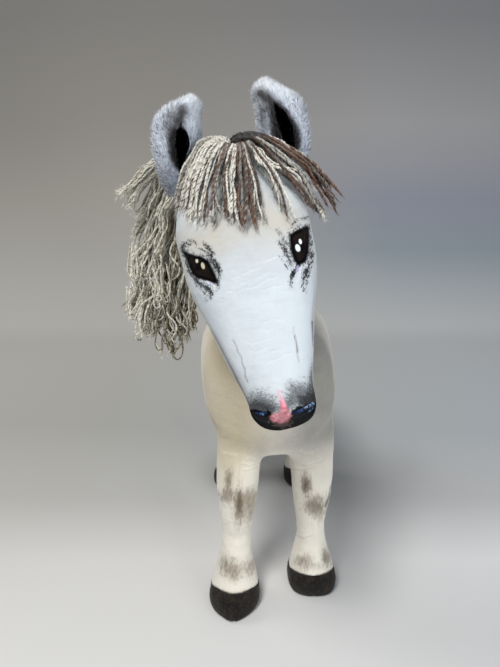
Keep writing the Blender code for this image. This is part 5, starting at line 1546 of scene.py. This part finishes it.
CREAM, BARK, COAL, ASH = srgb(255, 251, 240), srgb(116, 84, 66), srgb(50, 45, 45), srgb(206, 199, 188)
FANS = (
    # two edge strands, as places in the picture from the roots down, how many lie between, how many are
    # brown, how far the painted shade at the roots reaches, how much the ends vary, and which half they
    # belong to
    (
        [(231, 142), (217, 137.5), (203, 143), (193, 157), (183.5, 180), (174.5, 207)],
        [(231, 143), (218, 140), (206, 149), (198, 166), (190, 190), (182, 218)],
        19, 0.26, 0.020, 0.16, "right",
    ),
    (
        [(231, 143), (219, 140.5), (208, 150), (199, 167), (191, 191), (185, 221)],
        [(232, 143), (223, 142.5), (214, 154), (206, 172), (199, 195), (197, 224)],
        15, 0.14, 0.020, 0.16, "right",
    ),
    (
        [(232, 143), (224, 144), (218, 158), (212, 180), (205, 203), (203, 223)],
        [(232, 143), (227, 146), (223, 162), (219, 188), (218, 212), (217, 236)],
        7, 0.25, 0.018, 0.18, "right",
    ),
    (
        [(233, 143), (229, 148), (224, 164), (221, 184), (221, 200), (222, 214)],
        [(235, 142), (236, 148), (236, 166), (238, 188), (239.5, 212), (241, 232)],
        13, 0.26, 0.022, 0.15, "right",
    ),
    (
        [(236, 141), (238, 147), (239, 166), (241, 188), (243, 210), (245, 231)],
        [(242, 140), (246, 146), (252, 162), (258, 182), (264, 203), (267, 221)],
        15, 0.34, 0.026, 0.15, "left",
    ),
    (
        [(243, 139), (248, 146), (256, 160), (265, 178), (271, 194), (273, 208)],
        [(245, 138), (252, 144), (262, 157), (275, 176), (285, 197), (292, 216)],
        6, 0.25, 0.020, 0.20, "left",
    ),
    (
        [(236, 141), (244, 137), (257, 143), (276, 164), (297, 188), (316, 212)],
        [(235, 141), (245, 135), (262, 139), (286, 156), (309, 180), (329, 220)],
        18, 0.90, 0.034, 0.15, "left",
    ),
    (
        [(235, 140), (246, 134.5), (264, 138.5), (288, 154), (312, 178), (332, 218)],
        [(234, 139), (248, 132.5), (268, 136), (294, 150), (320, 171), (341, 195)],
        18, 0.92, 0.038, 0.17, "left",
    ),
    (
        [(250, 146), (257, 158), (268, 168), (282, 171), (296, 182), (306, 196)],
        [(252, 144), (262, 152), (274, 160), (288, 166), (302, 178), (312, 192)],
        3, 0.0, 0.0, 0.12, "left",
    ),
)
LIFTS = (0.0040, 0.0102, 0.0108, 0.0092, 0.0070, 0.0032)  # off the head, from the roots down
forelock = {"left": [], "right": []}
for first, second, count, brown, root_shade, vary, word in FANS:
    for n in range(count):
        t = (n + draw.uniform(0.15, 0.85)) / count
        run = between_runs(first, second, t)
        level = draw.random()
        bow, slant = draw.gauss(0, 2.2), draw.gauss(0, 3.4)
        short = draw.uniform(0, vary) if draw.random() < 0.75 else draw.uniform(vary, vary * 2.4)
        (x, y), (before_x, before_y) = run[-1], run[-2]
        run[-1] = (x + (before_x - x) * short * 2.4, y + (before_y - y) * short * 2.4)
        path = []
        for k, ((x, y), lift) in enumerate(zip(run, LIFTS)):
            part = k / (len(LIFTS) - 1)
            sway = bow * math.sin(math.pi * part) + slant * part * part + draw.gauss(0, 0.55 * part)
            if k > 1:
                lift *= 0.50 + 0.62 * level
            path.append(on_head(x + sway, y + 0.25 * sway, lift))
        if draw.random() < brown:
            tones = (BARK * draw.uniform(0.55, 1.10), ASH * draw.uniform(0.25, 0.75))
            if draw.random() < 0.30:
                tones = (CREAM * draw.uniform(0.45, 0.85), BARK * 0.6)
        elif draw.random() < 0.88:
            ply = BARK * draw.uniform(0.6, 1.2) if draw.random() < 0.72 else ASH * draw.uniform(0.3, 0.9)
            tones = (CREAM * draw.uniform(0.90, 1.0), ply)
        else:
            tones = (ASH * draw.uniform(0.5, 0.9), COAL)
        # Painted shade: strands that lie lower, under the others, are darker.
        deep = 0.32 + 0.68 * float(smooth(0.0, 0.50, level))
        tones = (tones[0] * deep, tones[1] * deep)
        dark = root_shade * draw.uniform(0.4, 1.3)
        size = draw.uniform(0.00064, 0.00104)
        path = wander(smooth_path(path, YARN_STEP), draw.uniform(0.0006, 0.0016), 0.010, draw.uniform(0, 1))
        made = strand(path, size, tones, draw.uniform(0.0038, 0.0060), 8, draw.uniform(0, 6), dark)
        forelock[word].append(made)
for word, strands_here in forelock.items():
    name, cad_node = f"forelock_{word}_yarn", f"forelock_{word}"
    yarn_piece(name, strands_here, forelock_look, "forelock_yarn", "head", cad_node)

# The wrap over the roots: loops that lie across the top, then turn down
WRAP_ENDS = {True: ((203, 210), (222, 230), (138, 142)), False: ((231, 237), (258, 272), (134, 139.5))}
wrap = []
for n in range(16):
    left = n < 5
    x0, x1, y = (draw.uniform(*ends) for ends in WRAP_ENDS[left])
    path = [
        on_head(x0 + (2 if left else 0), y + 8, 0.0070),
        on_head(x0, y + 3, 0.0100),
        on_head(x0 + 5, y - 0.5, 0.0116),
        on_head((x0 + x1) / 2, y - 1.5, 0.0120),
        on_head(x1 - 4, y, 0.0112),
        on_head(x1 + 1, y + 4, 0.0092),
        on_head(x1 + 2, y + 8, 0.0060),
    ]
    if left:
        tones = (CREAM * 0.9, BARK * 0.6)
    else:
        tones = (COAL * draw.uniform(0.5, 1.1), ASH * draw.uniform(0.25, 0.60))
    wrap.append(strand(smooth_path(path, YARN_STEP), 0.00092, tones, 0.0040, 8, draw.uniform(0, 6)))
yarn_piece("forelock_wrap_yarn", wrap, forelock_look, "forelock_yarn", "head", "forelock_wrap")


def at_depth(px, py, y):
    """The place at this Y that stands here in the picture."""
    ray = picture_ray(px, py)
    return EYE_POINT + ray * (y - EYE_POINT[1]) / ray[1]


OAT, OLIVE, MOSS = srgb(255, 252, 238), srgb(190, 178, 150), srgb(112, 106, 86)
TUFTS = (
    # share of the neck, where the tuft comes over the edge of the head, places on the way down, its tip,
    # how far its strands spread, depth, waviness, how bright (lower for tufts in painted shade), how many,
    # and its lock
    (1.05, (176, 152), [(148, 166), (134, 181)], (119, 195), 3.5, -0.040, 0.6, 0.9, 20, 1),
    (1.03, (177, 156), [(153, 172), (140, 190)], (128, 208), 5.0, -0.036, 0.8, 0.8, 22, 1),
    (1.00, (178, 160), [(160, 176), (150, 196)], (139, 219), 6.0, -0.032, 0.9, 0.6, 20, 1),
    (0.98, (178, 166), [(162, 188), (149, 214)], (133, 238), 6.0, -0.028, 1.0, 0.5, 16, 1),
    (0.95, (178, 172), [(164, 200), (151, 232), (143, 258)], (141, 278), 8.0, -0.028, 1.6, 0.82, 24, 2),
    (0.92, (180, 178), [(168, 208), (160, 244), (157, 274)], (164, 306), 8.0, -0.033, 1.6, 0.90, 26, 2),
    (0.88, (178, 180), [(162, 216), (148, 256), (140, 288)], (132, 318), 9.0, -0.023, 2.2, 0.88, 26, 3),
    (0.80, (182, 196), [(170, 232), (160, 272), (153, 306)], (148, 338), 9.0, -0.026, 2.2, 0.42, 28, 3),
    (0.74, (186, 210), [(176, 246), (170, 288), (170, 322)], (172, 356), 8.0, -0.030, 1.8, 0.22, 26, 4),
    (0.66, (190, 228), [(184, 262), (180, 296), (181, 320)], (184, 342), 8.0, -0.028, 1.6, 0.12, 26, 4),
    (0.56, (195, 246), [(190, 274), (190, 298), (192, 314)], (193, 330), 5.0, -0.030, 1.4, 0.10, 18, 4),
    (0.95, (182, 178), [(168, 214), (160, 250), (158, 280)], (160, 318), 13.0, -0.018, 1.6, 0.05, 24, 2),
    (0.80, (186, 196), [(172, 240), (166, 280), (166, 306)], (166, 334), 15.0, -0.016, 1.8, 0.05, 26, 3),
)
mane = {1: [], 2: [], 3: [], 4: []}
for tuft, (share_up, over, way, tip, spread_by, depth, waving, light, count, lock) in enumerate(TUFTS):
    for _ in range(count):
        share_here = min(1.0, share_up + draw.uniform(-0.07, 0.05))
        base, radius = between(NECK_BASE, NECK_TOP, share_here), between(*NECK_RADII, share_here)
        root = base + neck_back * radius * 0.90 - neck_across * radius * draw.uniform(0.05, 0.40)
        level = draw.uniform(-1, 1)
        y = depth - 0.007 * level
        lean, drop = draw.gauss(0, spread_by * 0.45), draw.gauss(0, 2.2)
        over_x, over_y = over[0] + draw.gauss(0, 2.0) + 3, over[1] + draw.gauss(0, 3.0)
        start = at_depth(over_x, over_y, max(y, -0.045) + 0.004)
        path = [root, root * 0.45 + start * 0.55 + neck_back * 0.012, start]
        turn, wave = draw.uniform(0, 6), waving * draw.uniform(0.5, 1.6)
        for k, (here, ahead) in enumerate(zip(way, way[1:] + [tip])):
            part = (k + 1) / (len(way) + 1)
            for half in (0.0, 0.5):  # a place, and one on the way to the next
                x, z = between(here[0], ahead[0], half), between(here[1], ahead[1], half)
                swing = wave * 1.7 * math.sin(turn + z / 8.5) + draw.gauss(0, 0.6)
                x = x + lean * (part + half * 0.3) + swing
                path.append(at_depth(x, z + drop, y + 0.0012 * wave * math.cos(turn + z / 7)))
        short = draw.uniform(0, 0.30) if draw.random() < 0.72 else draw.uniform(0.3, 0.8)
        end_x = tip[0] + lean * 1.2 + (way[-1][0] - tip[0]) * short + draw.gauss(0, 1.2)
        end_y = tip[1] + (way[-1][1] - tip[1]) * short + draw.gauss(0, 2.5)
        if short >= 0.45:
            path.pop()
        path.append(at_depth(end_x, end_y, y + draw.uniform(-0.003, 0.003)))
        if 4 <= tuft <= 8 and draw.random() < 0.28:  # uncut loops turn up again
            wide = draw.choice((-1, 1)) * draw.uniform(3.5, 7.0)
            for dx, dy in ((wide * 0.5, 3.4), (wide, -1.0), (wide * 1.15, -12), (wide * 0.8, -28)):
                path.append(at_depth(end_x + dx, end_y + dy, y - 0.002))
        # Painted shade: strands that lie deeper, and the darker tufts, get the darker tones.
        bright = light + draw.gauss(0.05, 0.28) + 0.20 * level
        if bright > 0.52:
            tones = (OAT * draw.uniform(0.88, 1.05), OLIVE)
        elif bright > 0.28:
            tones = (OAT * draw.uniform(0.55, 0.8), OLIVE * 0.7)
        else:
            tones = (OLIVE * draw.uniform(0.40, 0.85), MOSS * 0.5)
        size = draw.uniform(0.00066, 0.00106)
        crimp = draw.uniform(0.0004, 0.0010) if tuft < 4 else draw.uniform(0.0005, 0.0023)
        path = curl(smooth_path(path, MANE_STEP), crimp, draw.uniform(0.024, 0.052), draw.uniform(0, 6))
        mane[lock].append(strand(path, size, tones, draw.uniform(0.0042, 0.0060), 6, draw.uniform(0, 6)))
for lock, strands_here in mane.items():
    yarn_piece(f"mane_{lock}_yarn", strands_here, mane_look, "mane_yarn", "neck", f"mane_lock_{lock}")

# Tail
TAIL_LENGTH = 0.148
# The darker pairs are the same yarn in painted shade.
TAIL_TONES = ((OAT, OLIVE), (OAT * 0.8, OLIVE * 0.8), (OAT * 0.6, OLIVE * 0.7), (OLIVE * 0.9, MOSS * 0.8))
tail = {1: [], 2: [], 3: []}
for lock, count in ((1, 24), (2, 26), (3, 24)):
    for _ in range(count):
        aside = (lock - 2) * 0.0135 + draw.gauss(0, 0.0042)
        root_y, root_z = 0.146 + draw.uniform(-0.002, 0.002), 0.2306 + draw.uniform(-0.004, 0.005)
        root = np.array([aside * 0.55, root_y, root_z])
        out = draw.uniform(0.0, 1.0)
        drop = TAIL_LENGTH * (draw.uniform(0.86, 1.0) if draw.random() < 0.7 else draw.uniform(0.55, 0.9))
        path = [root, root + [aside * 0.3, 0.014, 0.002], root + [aside * 0.6, 0.024 + 0.004 * out, -0.014]]
        for part in (0.35, 0.6, 0.8, 1.0):
            sway = draw.gauss(0, 0.0022)
            behind = 0.027 + 0.009 * out + draw.gauss(0, 0.0015)
            path.append(root + [aside * (0.6 + 0.7 * part) + sway, behind, -drop * part])
        tones = draw.choice(TAIL_TONES)
        crimp, period = draw.uniform(0.0005, 0.0016), draw.uniform(0.014, 0.030)
        path = curl(smooth_path(path, TAIL_STEP), crimp, period, draw.uniform(0, 6))
        size = draw.uniform(0.00066, 0.00092)
        tail[lock].append(strand(path, size, tones, 0.0052, 6, draw.uniform(0, 6)))
for lock, strands_here in tail.items():
    yarn_piece(f"tail_{lock}_yarn", strands_here, mane_look, "mane_yarn", "tail", f"tail_lock_{lock}")


# Hooves

HOOF_SIDES, HOOF_HAIRS, HOOF_HAIR_WIDTH = 120, 4200, 0.00022


def hoof_mesh(name):
    """A cloth boot: a rounded front seam, a soft top edge and a flat underside."""
    rings = []
    height = LEGS[name]["pivot"][2]
    pointed = 0.0044 if name == "front_right_leg" else 0.0
    squareness = 2.7 if name == "front_left_leg" else 2.15
    angle = np.linspace(0, math.tau, HOOF_SIDES, endpoint=False)
    toe = bell(angle - 1.49 * math.pi, 0.46)
    for z, grow in (  # height, and how much wider than the leg
        (0.0005, -0.0060),
        (0.0006, -0.0016),
        (0.0016, -0.0004),
        (0.0032, 0.0002),
        (0.0080, 0.0005),
        (0.0130, 0.0005),
        (0.0175, 0.0006),
        (0.0196, 0.0006),
        (0.0204, 0.0002),
        (0.0203, -0.0008),
        (0.0180, -0.0016),
    ):
        centre, wide, deep = leg_row(name, 1 - z / height)
        ring = oval(centre, X, Y, wide + grow, deep + grow, squareness, HOOF_SIDES)
        ring[:, 1] -= toe * pointed * (1 - z / 0.03)
        behind = smooth(-0.95, 0.5, np.sin(angle))  # the top edge dips from the toe round to the heel
        ring[:, 2] = z - 0.0002 - 0.0062 * behind * smooth(0.006, 0.0196, z)
        rings.append(ring)
    return rings_to_mesh(rings)


suede = suede_material("hoof_suede_look")
for name in LEGS:
    hoof = new_object(name + "_hoof_skin", *hoof_mesh(name))
    bpy.context.view_layer.update()
    sub = hoof.modifiers.new("round", "SUBSURF")
    sub.levels = sub.render_levels = 1
    apply_modifiers(hoof)
    co, no = coords(hoof), normals(hoof)
    seam_x = leg_row(name, 1.0)[0][0]
    seam = bell(co[:, 0] - seam_x, 0.0007) * (no[:, 1] < -0.2) * smooth(0.0195, 0.0165, co[:, 2])
    rough = fractal(co, 0.006, 60, 3) - 0.5
    lowest = co[:, 2] < 0.0008
    move = (rough * 0.0007 - seam * 0.0007) * ~lowest
    set_coords(hoof, co + no * move[:, None])
    finish_piece(hoof, suede)
    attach(hoof, name)
    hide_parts(name + "_hoof", name + "_sole")
    # A short nap, longest along the top edge
    pick = np.flatnonzero((co[:, 2] > 0.0015) & (no[:, 2] > -0.3))
    weight = 0.35 + 1.6 * smooth(0.0130, 0.0195, co[pick, 2])
    at = RNG.choice(pick, HOOF_HAIRS, p=weight / weight.sum())
    spots = co[at] + RNG.normal(size=(len(at), 3)) * 0.0003
    ways = unit(no[at] + np.array([0, 0, 0.35]) + RNG.normal(size=(len(at), 3)) * 0.35)
    tones = np.clip(srgb(30, 26, 23) * RNG.uniform(0.4, 2.4, len(at))[:, None], 0, 1)
    rusty = fractal(spots, 0.004, 44, 2)[:, None] + RNG.normal(0, 0.12, (len(at), 1))
    tones = tones + (srgb(86, 50, 30) - tones) * smooth(0.58, 0.80, rusty) * 0.8
    tones = tones + (srgb(110, 104, 96) - tones) * (RNG.random((len(at), 1)) < 0.05)
    lengths = RNG.uniform(0.0004, 0.0011, len(at))
    nap = blades(name + "_hoof_nap", spots, ways, lengths, HOOF_HAIR_WIDTH, tones)
    finish_piece(nap, fur_look)
    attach(nap, name)


# Camera, lights and floor

camera_data = bpy.data.cameras.new("camera")
camera_data.lens = 26
camera_data.sensor_width = 34.6
camera = link_object("camera", camera_data)
camera.location = Vector(EYE_POINT + SHIFT)
camera.rotation_euler = (math.pi / 2 - PITCH, 0, 0)
bpy.context.scene.camera = camera


def area_light(name, place, target, size, power, colour):
    data = bpy.data.lights.new(name, "AREA")
    data.shape = "DISK"
    data.size = size
    data.energy = power
    data.color = colour
    obj = link_object(name, data)
    obj.location = place
    obj.rotation_euler = (Vector(target) - Vector(place)).to_track_quat("-Z", "Y").to_euler()


area_light("key", (-0.75, -1.45, 2.60), (0, -0.05, 0.15), 0.8, 62.0, (1.0, 0.985, 0.955))
area_light("fill", (1.3, -0.9, 0.6), (0, 0, 0.2), 0.9, 3.4, (0.80, 0.90, 1.0))
area_light("side", (-0.9, 0.3, 1.2), (0, -0.1, 0.25), 0.5, 4.0, (1.0, 0.98, 0.95))
area_light("low", (0.60, -1.15, 0.14), (0.03, -0.1, 0.04), 0.35, 6.8, (1.0, 0.99, 0.97))

world = bpy.data.worlds.new("world")
world.use_nodes = True
background = world.node_tree.nodes["Background"]
background.inputs["Color"].default_value = (0.86, 0.92, 1.0, 1.0)
background.inputs["Strength"].default_value = 0.30
bpy.context.scene.world = world


SHEET_FROM, SHEET_TO, SHEET_HALF = -1.6, 2.9, 2.6  # the ends along the sheet in metres, and half its width
BEND_FROM, BEND = 0.75, 0.6
# Distance along the sheet in metres, and its tone there, with the light's fall-off and a shadow on the right
# painted in
WARM_LIT = ((-1.45, (128, 127, 126)), (-0.95, (150, 149, 148)), (-0.50, (206, 205, 203)))
WARM_LIT += ((-0.235, (219, 218, 216)), (-0.12, (209, 208, 205)), (-0.037, (200, 199, 196)))
WARM_LIT += ((0.062, (175, 174, 170)), (0.26, (164, 163, 158)), (0.887, (182, 180, 175)))
WARM_LIT += ((1.646, (159, 155, 148)), (2.273, (131, 128, 124)))
COOL_SHADED = ((-1.45, (128, 128, 130)), (-0.95, (150, 150, 152)), (-0.50, (196, 197, 200)))
COOL_SHADED += ((-0.235, (203, 204, 207)), (-0.12, (203, 204, 207)), (-0.037, (225, 225, 228)))
COOL_SHADED += ((0.062, (182, 183, 186)), (0.227, (168, 174, 179)), (0.887, (188, 190, 191)))
COOL_SHADED += ((1.382, (140, 149, 156)), (1.646, (140, 143, 154)), (1.943, (159, 158, 159)))
COOL_SHADED += ((2.273, (129, 129, 131)),)


def backdrop():
    """A sheet that lies on the floor and curves up behind."""
    rows = [(SHEET_FROM, 0.0), (BEND_FROM, 0.0)]
    for a in np.linspace(0, math.pi / 2, 16)[1:]:
        rows.append((BEND_FROM + BEND * math.sin(a), BEND - BEND * math.cos(a)))
    rows.append((BEND_FROM + BEND, 2.4))
    verts, faces = [], []
    for k, (y, z) in enumerate(rows):
        verts += [(-SHEET_HALF, y, z), (SHEET_HALF, y, z)]
        if k:
            faces.append((2 * k - 2, 2 * k - 1, 2 * k + 1, 2 * k))
    return new_object("backdrop", verts, faces)


def backdrop_look():
    """Paper, warmer on the left and cooler on the right, with painted light: brightest on the floor in front
    of the horse, darker up the wall, and a painted shadow on the right.
    """
    made, tree, shader = material("backdrop_paper", Roughness=0.9)
    parts = node(tree, "ShaderNodeSeparateXYZ")
    tree.links.new(node(tree, "ShaderNodeTexCoord").outputs["Object"], parts.inputs[0])
    run = calculate(tree, "ShaderNodeMath", "ADD", parts.outputs["Y"], parts.outputs["Z"])
    place = map_range(tree, run, From_Min=SHEET_FROM, From_Max=SHEET_TO)
    length = SHEET_TO - SHEET_FROM
    left, right = (
        ramp(tree, place, [((at - SHEET_FROM) / length, srgb(*tone)) for at, tone in tones])
        for tones in (WARM_LIT, COOL_SHADED)
    )
    aside = map_range(tree, parts.outputs["X"], From_Min=-0.25, From_Max=0.45)
    set_base(tree, shader, mix(tree, "MIX", aside, left, right))
    return made


floor = backdrop()
floor.data.materials.append(backdrop_look())

bpy.context.scene.view_settings.view_transform = "Standard"
